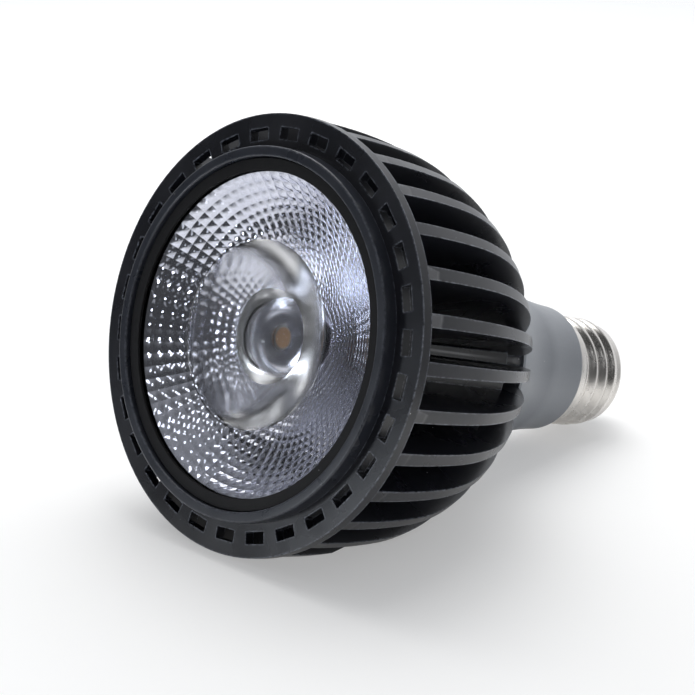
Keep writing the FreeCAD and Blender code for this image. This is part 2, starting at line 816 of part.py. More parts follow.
def side_hole(body, name, radius, offset, level, reach):
    """A round hole through one side wall, cut along +X from the axis."""
    sketch = body.newObject("Sketcher::SketchObject", f"{name}Outline")
    sketch.AttachmentSupport = [(origin_item(body, "YZ_Plane"), "")]
    sketch.MapMode = "FlatFace"
    centre = FreeCAD.Vector(offset.value, level.value, 0)
    sketch.addGeometry(Part.Circle(centre, FreeCAD.Vector(0, 0, 1), radius.value), False)
    for kind, value in (("DistanceX", offset), ("DistanceY", level)):
        index = sketch.addConstraint(Sketcher.Constraint(kind, -1, 1, 0, 3, value.value))
        sketch.setExpression(f"Constraints[{index}]", value.text)
    index = sketch.addConstraint(Sketcher.Constraint("Radius", 0, radius.value))
    sketch.setExpression(f"Constraints[{index}]", radius.text)
    hole = body.newObject("PartDesign::Pocket", name)
    hole.Profile = sketch
    hole.Type = 0
    bind(hole, "Length", reach)
    hole.Reversed = True
    body.Tip = hole
    return hole


def make_neck_housing():
    """Flared plastic neck with a spigot that carries the screw shell."""
    body = new_body("neck_housing")
    waist = NECK_WAIST_RADIUS
    waist_level = BOSS_END + size("neck_waist_height")
    end = NECK_END_RADIUS
    soft = size("neck_end_round")
    wall = size("neck_wall")
    floor = BOSS_END + size("neck_flange_thickness")
    throat = NECK_END - wall * 2.0
    form = Outline(body, "NeckOutline", "XZ_Plane")
    form.corner(size("driver_bore_radius"), BOSS_END)
    form.corner(NECK_FLANGE_RADIUS, BOSS_END)
    form.corner(NECK_FLANGE_RADIUS, BOSS_END + size("slip_gap") * 4.0)
    form.arc_to(waist, waist_level, size("neck_flare_bulge"), left=False)
    form.arc_to(end, NECK_END - soft, size("neck_taper_bulge"), left=False)
    form.arc_to(end - soft, NECK_END, soft)
    form.corner(SPIGOT_RADIUS, NECK_END)
    form.corner(SPIGOT_RADIUS, SPIGOT_END)
    form.corner(SPIGOT_BORE, SPIGOT_END)
    form.corner(SPIGOT_BORE, NECK_END - wall)
    form.corner(end - wall, throat)
    form.corner(waist - wall, waist_level)
    form.corner(NECK_POCKET_RADIUS, BOSS_END + size("neck_pocket_height"))
    form.corner(NECK_POCKET_RADIUS, floor)
    form.corner(size("driver_bore_radius"), floor)
    revolve(body, "Neck", form.close())
    thick = size("neck_flange_thickness")
    circle = size("neck_screw_circle")
    round_holes(body, "NeckFloorHole", SCREW_HOLE, circle, thick, BOSS_END, size("neck_screw_count"))
    side_hole(body, "SpigotHole", LEAD_HOLE, -NEUTRAL_OFFSET, NEUTRAL_HOLE, end)
    return body


def make_neck_screws():
    """Screws from inside the neck into the rear boss of the casting."""
    count = round(size("neck_screw_count").value)
    seat = BOSS_END + size("neck_flange_thickness")
    circle = size("neck_screw_circle")
    turns = [360.0 * index / count for index in range(count)]
    return [
        make_screw(f"neck_screw_{'abcdefgh'[index]}", turn, circle, seat, True)
        for index, turn in enumerate(turns)
    ]


def shell_sleeve():
    """Turned sheet-metal sleeve of the screw base, before its thread."""
    body = new_body("ShellSleeve")
    root = SHELL_ROOT
    band = size("shell_crest_radius")
    wall = size("shell_wall")
    band_end = SHELL_START + size("shell_band")
    form = Outline(body, "SleeveOutline", "XZ_Plane")
    form.corner(SHELL_BORE, SHELL_START)
    form.corner(band, SHELL_START)
    form.corner(band, band_end - wall)
    form.corner(root, band_end + wall)
    form.corner(root, SHELL_END - wall * 2.0)
    form.arc_to(root - wall * 2.0, SHELL_END, wall * 2.0)
    form.corner(SHELL_LIP, SHELL_END)
    form.corner(SHELL_LIP, SHELL_END - wall)
    form.corner(SHELL_BORE, SHELL_END - wall)
    revolve(body, "Sleeve", form.close())
    return body


def make_screw_shell():
    """Nickel-plated screw shell with a rounded helical thread."""
    sleeve = shell_sleeve()
    DOCUMENT.recompute()
    pitch = size("thread_pitch").value
    root = SHELL_ROOT.value
    crest = size("shell_crest_radius").value
    wall = size("shell_wall").value
    start = SHELL_START.value + size("shell_band").value
    end = SHELL_END.value - 3.0 * wall
    sunk = root - wall / 3.0
    half = pitch * 0.42
    helix = Part.makeHelix(pitch, end - start - half, sunk)
    helix.translate(FreeCAD.Vector(0, 0, start))
    low = FreeCAD.Vector(sunk, 0, start - half)
    high = FreeCAD.Vector(sunk, 0, start + half)
    top = FreeCAD.Vector(crest, 0, start)
    ridge = Part.Wire([Part.Arc(low, top, high).toShape(), Part.makeLine(high, low)])
    thread = Part.Wire(helix).makePipeShell([ridge], True, True)
    room = Part.makeCylinder(crest + 1.0, end - start + half, FreeCAD.Vector(0, 0, start - half))
    solid = sleeve.Shape.fuse(thread.common(room))
    feature = DOCUMENT.addObject("Part::Feature", "screw_shell")
    feature.Label = "screw_shell"
    feature.Shape = solid
    return feature


def make_base_insulator():
    """Insulating cone crimped into the end of the screw shell."""
    body = new_body("base_insulator")
    gap = size("seat_gap")
    under_lip = SHELL_END - size("shell_wall") - gap
    neck = SHELL_LIP - gap
    form = Outline(body, "InsulatorOutline", "XZ_Plane")
    form.corner(LEAD_HOLE, SPIGOT_END + gap)
    form.corner(SPIGOT_RADIUS, SPIGOT_END + gap)
    form.corner(SPIGOT_RADIUS, under_lip)
    form.corner(neck, under_lip)
    form.corner(neck, SHELL_END)
    form.corner(size("insulator_tip_radius"), INSULATOR_END)
    form.corner(LEAD_HOLE, INSULATOR_END)
    revolve(body, "Insulator", form.close())
    return body


def make_centre_contact():
    """Domed centre contact on the tip of the insulator."""
    body = new_body("centre_contact")
    radius = CONTACT_RADIUS
    rim = size("contact_rim")
    rise = size("contact_height") - rim
    form = Outline(body, "ContactOutline", "XZ_Plane")
    form.corner(0.0, INSULATOR_END)
    form.corner(radius, INSULATOR_END)
    form.corner(radius, INSULATOR_END + rim)
    form.arc_to(0.0, CONTACT_END, (radius * radius + rise * rise) / (rise * 2.0))
    revolve(body, "Contact", form.close())
    return body


# Driver


def make_driver_sleeve():
    """Insulating sleeve round the driver, seated on the casting's septum."""
    return ring_body("driver_sleeve", SLEEVE_BORE, SLEEVE_RADIUS, SLEEVE_START, SLEEVE_END)


def make_driver_board():
    """Long circuit board that stands in the sleeve and the neck."""
    thick = size("driver_board_thickness")
    return block("driver_board", DRIVER_BOARD_WIDTH, thick, DRIVER_LENGTH, 0.0, -HALF_BOARD, DRIVER_START)


def make_transformer():
    """Ferrite frame with a centre post, and the winding round the post."""
    side = size("core_side")
    tall = size("core_height")
    length = size("core_length")
    start = DRIVER_START + length
    frame = block("CoreFrame", side, tall, length, 0.0, HALF_BOARD, start)
    span = size("winding_length") + size("slip_gap") * 2.0
    room = size("winding_radius") * 2.0 + size("slip_gap") * 2.0
    gap_start = start + (length - room) / 2.0
    opening = block("CoreOpening", span, tall, room, 0.0, HALF_BOARD, gap_start)
    post = DOCUMENT.addObject("Part::Cylinder", "CorePost")
    post.Placement.Rotation = FreeCAD.Rotation(FreeCAD.Vector(0, 1, 0), 90)
    middle_y = HALF_BOARD + tall / 2.0
    middle_z = start + length / 2.0
    bind(post, "Radius", size("post_radius"))
    bind(post, "Height", side)
    bind(post, "Placement.Base.x", side / -2.0)
    bind(post, "Placement.Base.y", middle_y)
    bind(post, "Placement.Base.z", middle_z)
    core = fuse("transformer_core", cut("CoreRing", frame, opening), post)
    body = new_body("transformer_winding")
    form = Outline(body, "WindingOutline", "XZ_Plane")
    form.corner(size("post_radius") + size("seat_gap"), 0.0)
    form.corner(size("winding_radius"), 0.0)
    form.corner(size("winding_radius"), size("winding_length"))
    form.corner(size("post_radius") + size("seat_gap"), size("winding_length"))
    revolve(body, "Winding", form.close())
    body.Placement.Rotation = FreeCAD.Rotation(FreeCAD.Vector(0, 1, 0), 90)
    bind(body, "Placement.Base.x", size("winding_length") / -2.0)
    bind(body, "Placement.Base.y", middle_y)
    bind(body, "Placement.Base.z", middle_z)
    return [core, body]


def make_film_capacitor():
    """Boxed film capacitor beside the transformer."""
    start = DRIVER_START + size("core_length") * 2.0 + size("lead_bend")
    width = size("film_width")
    return block("film_capacitor", width, size("film_height"), size("film_length"), 0.0, HALF_BOARD, start)


def make_input_capacitor():
    """Round capacitor that lies along the board in the neck."""
    radius = size("capacitor_radius")
    length = size("capacitor_length")
    start = DRIVER_END - length - size("lead_bend")
    body = new_body("input_capacitor")
    form = Outline(body, "CapacitorOutline", "XZ_Plane")
    bead = radius / 10.0
    form.corner(0.0, 0.0)
    form.corner(radius, 0.0)
    form.corner(radius, bead * 3.0)
    form.corner(radius - bead, bead * 4.0)
    form.corner(radius, bead * 5.0)
    form.corner(radius, length)
    form.corner(0.0, length)
    revolve(body, "Capacitor", form.close())
    bind(body, "Placement.Base.y", HALF_BOARD + radius + size("seat_gap"))
    bind(body, "Placement.Base.z", start)
    return body


def make_bridge_rectifier():
    """Flat rectifier on the back of the board."""
    side = size("rectifier_side")
    tall = size("rectifier_height")
    start = DRIVER_START + size("core_length") * 2.0
    return block("bridge_rectifier", side, tall, side, 0.0, -HALF_BOARD - tall, start)


def make_driver_chip():
    """Control chip on the back of the board."""
    wide = size("chip_width")
    tall = size("chip_height")
    start = DRIVER_START + size("core_length")
    return block("driver_chip", wide, tall, size("chip_length"), 0.0, -HALF_BOARD - tall, start)


def make_fuse_resistor():
    """Fusible resistor that lies across the back of the board."""
    radius = size("fuse_radius")
    length = size("fuse_length")
    item = DOCUMENT.addObject("Part::Cylinder", "fuse_resistor")
    item.Placement.Rotation = FreeCAD.Rotation(FreeCAD.Vector(0, 1, 0), 90)
    bind(item, "Radius", radius)
    bind(item, "Height", length)
    bind(item, "Placement.Base.x", length / -2.0)
    bind(item, "Placement.Base.y", -HALF_BOARD - radius)
    bind(item, "Placement.Base.z", DRIVER_END - size("core_length"))
    return item


def make_lead(label, points):
    """Insulated wire along straight runs with a round bend at each corner."""
    bend = size("lead_bend").value
    places = [FreeCAD.Vector(*[Size.of(value).value for value in point]) for point in points]
    edges = []
    last = places[0]
    for index in range(1, len(places) - 1):
        corner = places[index]
        before = (places[index - 1] - corner).normalize()
        after = (places[index + 1] - corner).normalize()
        half = before.getAngle(after) / 2.0
        reach = bend / math.tan(half)
        start = corner + before * reach
        end = corner + after * reach
        inward = (before + after).normalize()
        middle = corner + inward * (bend / math.sin(half) - bend)
        edges.append(Part.makeLine(last, start))
        edges.append(Part.Arc(start, middle, end).toShape())
        last = end
    edges.append(Part.makeLine(last, places[-1]))
    along = (edges[0].Vertexes[1].Point - edges[0].Vertexes[0].Point).normalize()
    section = Part.Wire(Part.makeCircle(size("lead_radius").value, places[0], along))
    feature = DOCUMENT.addObject("Part::Feature", label)
    feature.Label = label
    feature.Shape = Part.Wire(edges).makePipeShell([section], True, True)
    return feature


def make_led_leads():
    """Two leads from the driver board through the septum to the light source."""
    rest = BOARD_FACE - size("lead_radius") - size("seat_gap")
    turn = DRIVER_START + size("lead_bend") * 2.0 + size("lead_radius")
    inner = HOLDER_BRIDGE / 2.0 + size("seat_gap")
    leads = []
    for label, side in (("led_lead_red", 1.0), ("led_lead_black", -1.0)):
        offset = LED_LEAD_OFFSET * side
        points = [
            (0.0, HALF_BOARD * side, turn),
            (0.0, offset, turn),
            (0.0, offset, rest),
            (0.0, inner * side, rest),
        ]
        leads.append(make_lead(label, points))
    return leads


def make_live_lead():
    """Lead from the driver board to the centre contact."""
    beside = HALF_BOARD + size("lead_radius")
    start = DRIVER_END - size("lead_bend") * 0.8
    points = [
        (0.0, beside, start),
        (0.0, beside, SPIGOT_END - size("lead_bend") * 4.0),
        (0.0, 0.0, SPIGOT_END - size("lead_bend")),
        (0.0, 0.0, INSULATOR_END),
    ]
    return make_lead("live_lead", points)


def make_neutral_lead():
    """Lead from the driver board to the inside of the screw shell."""
    start = DRIVER_END - size("lead_bend") * 3.0
    across = SPIGOT_BORE - size("lead_bend") - size("lead_radius")
    points = [
        (across, -NEUTRAL_OFFSET, start),
        (across, -NEUTRAL_OFFSET, NEUTRAL_HOLE),
        (SHELL_BORE - size("slip_gap"), -NEUTRAL_OFFSET, NEUTRAL_HOLE),
    ]
    return make_lead("neutral_lead", points)


def export_nodes(nodes):
    """Check every object and write each sub-part's shape to its own file."""
    DOCUMENT.recompute()
    for item in DOCUMENT.Objects:
        if "Invalid" in item.State or "Error" in item.State:
            raise RuntimeError(f"{item.Name} has failed: {item.State}")
    os.makedirs("parts", exist_ok=True)
    for node in nodes:
        shape = node.Shape
        if shape.isNull() or not shape.isValid():
            raise RuntimeError(f"{node.Label} has no valid shape")
        shape.exportStep(os.path.join("parts", f"{node.Label}.step"))
        print(f"{node.Label:22s} volume {shape.Volume:10.1f}  solids {len(shape.Solids)}")


def main():
    """Build every sub-part and write it out."""
    nodes = [
        make_heat_sink(),
        make_front_bezel(),
        make_cover_gasket(),
        make_cover_lens(),
        make_reflector(),
        make_thermal_pad(),
        make_cob_board(),
        make_cob_emitter(),
        make_cob_holder(),
        *make_cob_screws(),
        make_neck_housing(),
        *make_neck_screws(),
        make_screw_shell(),
        make_base_insulator(),
        make_centre_contact(),
        make_driver_sleeve(),
        make_driver_board(),
        *make_transformer(),
        make_film_capacitor(),
        make_input_capacitor(),
        make_bridge_rectifier(),
        make_driver_chip(),
        make_fuse_resistor(),
        *make_led_leads(),
        make_live_lead(),
        make_neutral_lead(),
    ]
    export_nodes(nodes)


main()
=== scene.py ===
"""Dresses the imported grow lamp: rounded castings, mirror facets, lens cover, thread and finishes."""

import logging
import math
from dataclasses import dataclass
from enum import Enum
from typing import Iterable, Optional, Union

import bmesh
import bpy
from mathutils import Matrix, Vector


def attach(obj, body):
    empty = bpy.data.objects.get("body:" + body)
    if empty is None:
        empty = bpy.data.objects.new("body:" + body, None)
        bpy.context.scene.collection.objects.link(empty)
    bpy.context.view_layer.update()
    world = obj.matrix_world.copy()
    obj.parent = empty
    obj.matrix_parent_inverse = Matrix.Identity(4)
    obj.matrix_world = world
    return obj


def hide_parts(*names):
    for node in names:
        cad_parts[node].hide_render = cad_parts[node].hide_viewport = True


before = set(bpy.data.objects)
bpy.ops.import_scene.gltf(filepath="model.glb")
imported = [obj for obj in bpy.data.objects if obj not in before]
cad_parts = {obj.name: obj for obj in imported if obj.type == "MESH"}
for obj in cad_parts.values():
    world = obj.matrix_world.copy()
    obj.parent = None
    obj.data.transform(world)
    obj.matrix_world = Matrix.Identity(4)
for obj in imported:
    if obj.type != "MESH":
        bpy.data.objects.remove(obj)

LOG = logging.getLogger("grow_lamp")
MM = 0.001
ROOT = "root"

# Distances that count as none, the first two in millimetres and the third in metres
ON_AXIS = 1e-6
SAME_PLACE = 1e-4
SAME_PACKED_PLACE = 2e-6

# Angles between faces, in degrees
SAME_PLANE = 0.4
ROUNDED_PAST = 30.0

Colour = tuple[float, float, float]
Point = tuple[float, float]
Span = tuple[float, float]
Socket = bpy.types.NodeSocket
Feed = Union[float, tuple[float, ...], Vector, bpy.types.NodeSocket]


# Node groups


class Sum(Enum):
    """What a node works out from two numbers."""

    ADD = "ADD"
    MULTIPLY = "MULTIPLY"
    LARGER = "MAXIMUM"
    BELOW = "LESS_THAN"
    SIZE = "ABSOLUTE"


class Bench:
    """Places and joins the nodes of one tree."""

    def __init__(self, tree: bpy.types.NodeTree) -> None:
        """Take the tree to work on."""
        self.tree = tree

    def add(self, kind: str, inputs: Optional[dict[Union[str, int], Feed]] = None,
            **settings: object) -> bpy.types.Node:
        """Place a node.

        Args:
            kind: type of the node, without its leading words.
            inputs: socket values by name or index; a socket among them is joined.
            settings: plain properties of the node.

        Returns:
            The new node.
        """
        node = self.tree.nodes.new("ShaderNode" + kind)
        for name, value in settings.items():
            setattr(node, name, value)
        for name, value in (inputs or {}).items():
            if isinstance(value, Socket):
                self.join(value, node.inputs[name])
            else:
                node.inputs[name].default_value = value
        return node

    def join(self, source: Socket, target: Socket) -> None:
        """Join two sockets."""
        self.tree.links.new(source, target)

    def math(self, what: Sum, first: Feed, second: Feed = 0.0, clamp: bool = False) -> Socket:
        """Work out one number from two, each a value or a socket."""
        node = self.add("Math", {0: first, 1: second}, operation=what.value, use_clamp=clamp)
        return node.outputs[0]

    def ramp(self, value: Feed, span: Span, onto: Span = (0.0, 1.0)) -> Socket:
        """Map a value from one range to another, held at its ends."""
        inputs = {"Value": value, "From Min": span[0], "From Max": span[1], "To Min": onto[0], "To Max": onto[1]}
        return self.add("MapRange", inputs).outputs["Result"]

    def along(self, way: Socket, direction: Feed) -> Socket:
        """How far a vector points in a direction."""
        node = self.add("VectorMath", {0: way, 1: direction}, operation="DOT_PRODUCT")
        return node.outputs["Value"]

    def blend(self, factor: Feed, first: Feed, second: Feed) -> Socket:
        """Mix two colours by a factor.

        Args:
            factor: share of the second colour.
            first: colour at a factor of 0.
            second: colour at a factor of 1.

        Returns:
            The mixed colour.
        """
        node = self.add("Mix", data_type="RGBA")
        for index, value in ((0, factor), (6, first), (7, second)):
            if isinstance(value, Socket):
                self.join(value, node.inputs[index])
            else:
                node.inputs[index].default_value = value
        return node.outputs[2]


class SurfaceGroup:
    """A shader node group with named inputs and outputs that finishes share."""

    name = ""
    inputs: tuple[tuple[str, str, float], ...] = ()
    outputs: tuple[tuple[str, str], ...] = ()

    def tree(self) -> bpy.types.NodeTree:
        """The group's tree, built at its first use.

        Returns:
            The tree with its sockets and nodes.
        """
        known = bpy.data.node_groups.get(self.name)
        if known is not None:
            return known
        tree = bpy.data.node_groups.new(self.name, "ShaderNodeTree")
        for label, kind, value in self.inputs:
            socket = tree.interface.new_socket(name=label, in_out="INPUT", socket_type=kind)
            if kind == "NodeSocketFloat":
                socket.default_value = value
        for label, kind in self.outputs:
            tree.interface.new_socket(name=label, in_out="OUTPUT", socket_type=kind)
        bench = Bench(tree)
        entry = tree.nodes.new("NodeGroupInput")
        leave = tree.nodes.new("NodeGroupOutput")
        self.lay(bench, entry, leave)
        return tree

    def lay(self, bench: Bench, entry: bpy.types.Node, leave: bpy.types.Node) -> None:
        """Lay the group's nodes between its entry and its exit.

        Args:
            bench: the group's own tree.
            entry: node that gives the group's inputs.
            leave: node that takes the group's outputs.
        """
        raise NotImplementedError

    def place(self, bench: Bench, **values: Feed) -> bpy.types.Node:
        """Place the group in a tree.

        Args:
            bench: tree to place it in.
            values: a value or a socket for each input that is given.

        Returns:
            The group's node.
        """
        node = bench.tree.nodes.new("ShaderNodeGroup")
        node.node_tree = self.tree()
        for label, value in values.items():
            socket = node.inputs[label.replace("_", " ").capitalize()]
            if isinstance(value, Socket):
                bench.join(value, socket)
            else:
                socket.default_value = value
        return node


class CastGrain(SurfaceGroup):
    """Fine bumps of a powder coat or a moulded skin."""

    name = "Cast grain"
    inputs = (("Place", "NodeSocketVector", 0.0), ("Size", "NodeSocketFloat", 3000.0),
              ("Coarse", "NodeSocketFloat", 0.35))
    outputs = (("Height", "NodeSocketFloat"), ("Tone", "NodeSocketFloat"))
    coarse_scale = 0.3
    tone_span = (0.3, 0.7)

    def lay(self, bench: Bench, entry: bpy.types.Node, leave: bpy.types.Node) -> None:
        """Lay two layers of noise, the coarse one about a third as fine.

        Args:
            bench: the group's own tree.
            entry: node that gives the group's inputs.
            leave: node that takes the group's outputs.
        """
        fine = bench.add("TexNoise", {"Vector": entry.outputs["Place"], "Scale": entry.outputs["Size"],
                                      "Detail": 3.0, "Roughness": 0.6})
        coarse = bench.math(Sum.MULTIPLY, entry.outputs["Size"], self.coarse_scale)
        broad = bench.add("TexNoise", {"Vector": entry.outputs["Place"], "Scale": coarse, "Detail": 2.0})
        share = bench.add("Mix", {0: entry.outputs["Coarse"], 2: fine.outputs["Fac"], 3: broad.outputs["Fac"]})
        bench.join(share.outputs[0], leave.inputs["Height"])
        bench.join(bench.ramp(share.outputs[0], self.tone_span), leave.inputs["Tone"])


class EdgeWearAndSheen(SurfaceGroup):
    """Mask of the rubbed line along outer edges, broken up by noise; given a light colour, it also stands for a
    painted highlight along the edge.
    """

    name = "Rubbed edge and sheen"
    inputs = (("Place", "NodeSocketVector", 0.0), ("Reach", "NodeSocketFloat", 0.0006),
              ("Break", "NodeSocketFloat", 1100.0))
    outputs = (("Mask", "NodeSocketFloat"),)
    samples = 4
    bend_span = (0.995, 0.9)
    patch_span = (0.38, 0.62)

    def lay(self, bench: Bench, entry: bpy.types.Node, leave: bpy.types.Node) -> None:
        """Compare the rounded normal with the true one.

        Args:
            bench: the group's own tree.
            entry: node that gives the group's inputs.
            leave: node that takes the group's outputs.
        """
        soft = bench.add("Bevel", {"Radius": entry.outputs["Reach"]}, samples=self.samples)
        true = bench.add("NewGeometry")
        edge = bench.ramp(bench.along(soft.outputs[0], true.outputs["Normal"]), self.bend_span)
        patch = bench.add("TexNoise", {"Vector": entry.outputs["Place"], "Scale": entry.outputs["Break"],
                                       "Detail": 4.0, "Roughness": 0.65})
        gaps = bench.ramp(patch.outputs["Fac"], self.patch_span)
        bench.join(bench.math(Sum.MULTIPLY, edge, gaps, clamp=True), leave.inputs["Mask"])


class DustSpecks(SurfaceGroup):
    """Mask of small pale specks that lie scattered on a surface."""

    name = "Dust specks"
    inputs = (("Place", "NodeSocketVector", 0.0), ("Spacing", "NodeSocketFloat", 420.0),
              ("Share", "NodeSocketFloat", 0.3), ("Radius", "NodeSocketFloat", 0.07))
    outputs = (("Mask", "NodeSocketFloat"),)

    def lay(self, bench: Bench, entry: bpy.types.Node, leave: bpy.types.Node) -> None:
        """Lay small discs round the points of a share of the cells.

        Args:
            bench: the group's own tree.
            entry: node that gives the group's inputs.
            leave: node that takes the group's outputs.
        """
        cells = bench.add("TexVoronoi", {"Vector": entry.outputs["Place"], "Scale": entry.outputs["Spacing"]})
        parts = bench.add("SeparateColor", {0: cells.outputs["Color"]})
        chosen = bench.math(Sum.BELOW, parts.outputs[0], entry.outputs["Share"])
        wide = bench.math(Sum.MULTIPLY, parts.outputs[1], entry.outputs["Radius"])
        inside = bench.math(Sum.BELOW, cells.outputs["Distance"], wide)
        bench.join(bench.math(Sum.MULTIPLY, chosen, inside), leave.inputs["Mask"])


class Mottle(SurfaceGroup):
    """Slow change of tone over a surface."""

    name = "Mottle"
    inputs = (("Place", "NodeSocketVector", 0.0), ("Scale", "NodeSocketFloat", 60.0))
    outputs = (("Tone", "NodeSocketFloat"),)
    tone_span = (0.32, 0.68)

    def lay(self, bench: Bench, entry: bpy.types.Node, leave: bpy.types.Node) -> None:
        """Lay broad noise stretched to the full range.

        Args:
            bench: the group's own tree.
            entry: node that gives the group's inputs.
            leave: node that takes the group's outputs.
        """
        broad = bench.add("TexNoise", {"Vector": entry.outputs["Place"], "Scale": entry.outputs["Scale"],
                                       "Detail": 4.0, "Roughness": 0.55, "Distortion": 0.4})
        bench.join(bench.ramp(broad.outputs["Fac"], self.tone_span), leave.inputs["Tone"])


GRAIN = CastGrain()
WEAR_AND_SHEEN = EdgeWearAndSheen()
DUST = DustSpecks()
MOTTLE = Mottle()


# Finishes


WHITE: Colour = (1.0, 1.0, 1.0)


def opaque(colour: Colour) -> tuple[float, float, float, float]:
    """A colour with full alpha."""
    return (*colour, 1.0)


@dataclass(frozen=True)
class Finish:
    """A solid surface with grain, slow tone changes, rubbed edges that on dark finishes also carry a painted edge
    highlight, and dust.

    Lengths of patterns are given as scales per metre, as noise nodes take them.
    """

    name: str
    base: Colour
    accent: Colour
    roughness: float = 0.5
    roughness_swing: float = 0.08
    specular: float = 0.5
    coat: float = 0.0
    coat_roughness: float = 0.1
    grain: float = 3000.0
    grain_depth: float = 0.00001
    mottle: float = 60.0
    wear_and_sheen: float = 0.0
    wear_and_sheen_colour: Colour = (0.3, 0.3, 0.31)
    dust: float = 0.0
    dust_colour: Colour = (0.55, 0.55, 0.56)

    def material(self) -> bpy.types.Material:
        """The material of this finish, built at its first use.

        Returns:
            The material, shared by every piece with this finish.
        """
        label = f"{self.name}_finish"
        known = bpy.data.materials.get(label)
        if known is not None:
            return known
        material = bpy.data.materials.new(label)
        material.use_nodes = True
        material.node_tree.nodes.clear()
        bench = Bench(material.node_tree)
        self.lay(bench)
        return material

    def drift(self, bench: Bench, place: Socket) -> tuple[Socket, Socket]:
        """Slow change of tone, and the colour that follows it."""
        slow = MOTTLE.place(bench, place=place, scale=self.mottle).outputs["Tone"]
        return slow, bench.blend(slow, opaque(self.base), opaque(self.accent))

    def relief(self, bench: Bench, height: Socket) -> Socket:
        """Normal of the surface, bumped by a height."""
        inputs = {"Height": height, "Distance": self.grain_depth, "Strength": 1.0}
        return bench.add("Bump", inputs).outputs[0]

    def lay(self, bench: Bench) -> None:
        """Lay the nodes of the surface.

        Args:
            bench: the material's tree.
        """
        place = bench.add("TexCoord").outputs["Object"]
        grain = GRAIN.place(bench, place=place, size=self.grain)
        slow = MOTTLE.place(bench, place=place, scale=self.mottle)
        tone = bench.math(Sum.MULTIPLY, slow.outputs["Tone"], grain.outputs["Tone"])
        colour = bench.blend(tone, opaque(self.base), opaque(self.accent))
        rough = bench.ramp(slow.outputs["Tone"], (0.0, 1.0), (self.roughness - self.roughness_swing,
                                                              self.roughness + self.roughness_swing))
        # The edge mask takes a light colour: rubbed paint and, on the dark castings, a painted highlight along the
        # rounded edges.
        if self.wear_and_sheen > 0.0:
            edge_wear_and_sheen = WEAR_AND_SHEEN.place(bench, place=place)
            share = bench.math(Sum.MULTIPLY, edge_wear_and_sheen.outputs["Mask"], self.wear_and_sheen)
            colour = bench.blend(share, colour, opaque(self.wear_and_sheen_colour))
        if self.dust > 0.0:
            specks = DUST.place(bench, place=place, share=self.dust)
            colour = bench.blend(specks.outputs["Mask"], colour, opaque(self.dust_colour))
            rough = bench.math(Sum.LARGER, rough, specks.outputs["Mask"])
        shader = bench.add("BsdfPrincipled", {
            "Base Color": colour, "Roughness": rough, "Normal": self.relief(bench, grain.outputs["Height"]),
            "Specular IOR Level": self.specular, "Coat Weight": self.coat, "Coat Roughness": self.coat_roughness,
        })
        bench.add("OutputMaterial", {"Surface": shader.outputs[0]})


@dataclass(frozen=True)
class MirrorFinish(Finish):
    """Bright plating over moulded plastic, with a faint haze."""

    haze: float = 0.06
    speck_radius: float = 0.05
    speck_roughness: float = 0.6

    def lay(self, bench: Bench) -> None:
        """Lay a metal surface whose roughness drifts slightly.

        Args:
            bench: the material's tree.
        """
        place = bench.add("TexCoord").outputs["Object"]
        slow, colour = self.drift(bench, place)
        rough = bench.ramp(slow, (0.0, 1.0), (self.roughness, self.roughness + self.haze))
        fine = bench.add("TexNoise", {"Vector": place, "Scale": self.grain, "Detail": 2.0})
        specks = DUST.place(bench, place=place, share=self.dust, radius=self.speck_radius)
        dull = bench.math(Sum.MULTIPLY, specks.outputs["Mask"], self.speck_roughness)
        shader = bench.add("BsdfPrincipled", {
            "Base Color": colour, "Roughness": bench.math(Sum.LARGER, rough, dull), "Metallic": 1.0,
            "Normal": self.relief(bench, fine.outputs["Fac"]),
        })
        bench.add("OutputMaterial", {"Surface": shader.outputs[0]})


@dataclass(frozen=True)
class ClearFinish(Finish):
    """Clear moulded plastic or glass with a faint ripple."""

    index: float = 1.49
    frost: float = 0.17
    frost_span: Span = (0.0037, 0.0045)
    speck_radius: float = 0.05
    speck_roughness: float = 0.5

    def lay(self, bench: Bench) -> None:
        """Lay a clear surface with plain transmission, duller towards the depth of the lens.

        Args:
            bench: the material's tree.
        """
        place = bench.add("TexCoord").outputs["Object"]
        slow, colour = self.drift(bench, place)
        specks = DUST.place(bench, place=place, share=self.dust, radius=self.speck_radius)
        rough = bench.math(Sum.MULTIPLY, specks.outputs["Mask"], self.speck_roughness)
        rough = bench.math(Sum.ADD, rough, self.roughness)
        depth = bench.add("SeparateXYZ", {"Vector": place}).outputs["Z"]
        rough = bench.math(Sum.ADD, rough, bench.ramp(depth, self.frost_span, (0.0, self.frost)))
        shader = bench.add("BsdfPrincipled", {
            "Base Color": colour, "Roughness": rough, "IOR": self.index, "Transmission Weight": 1.0,
            "Normal": self.relief(bench, slow),
        })
        bench.add("OutputMaterial", {"Surface": shader.outputs[0]})


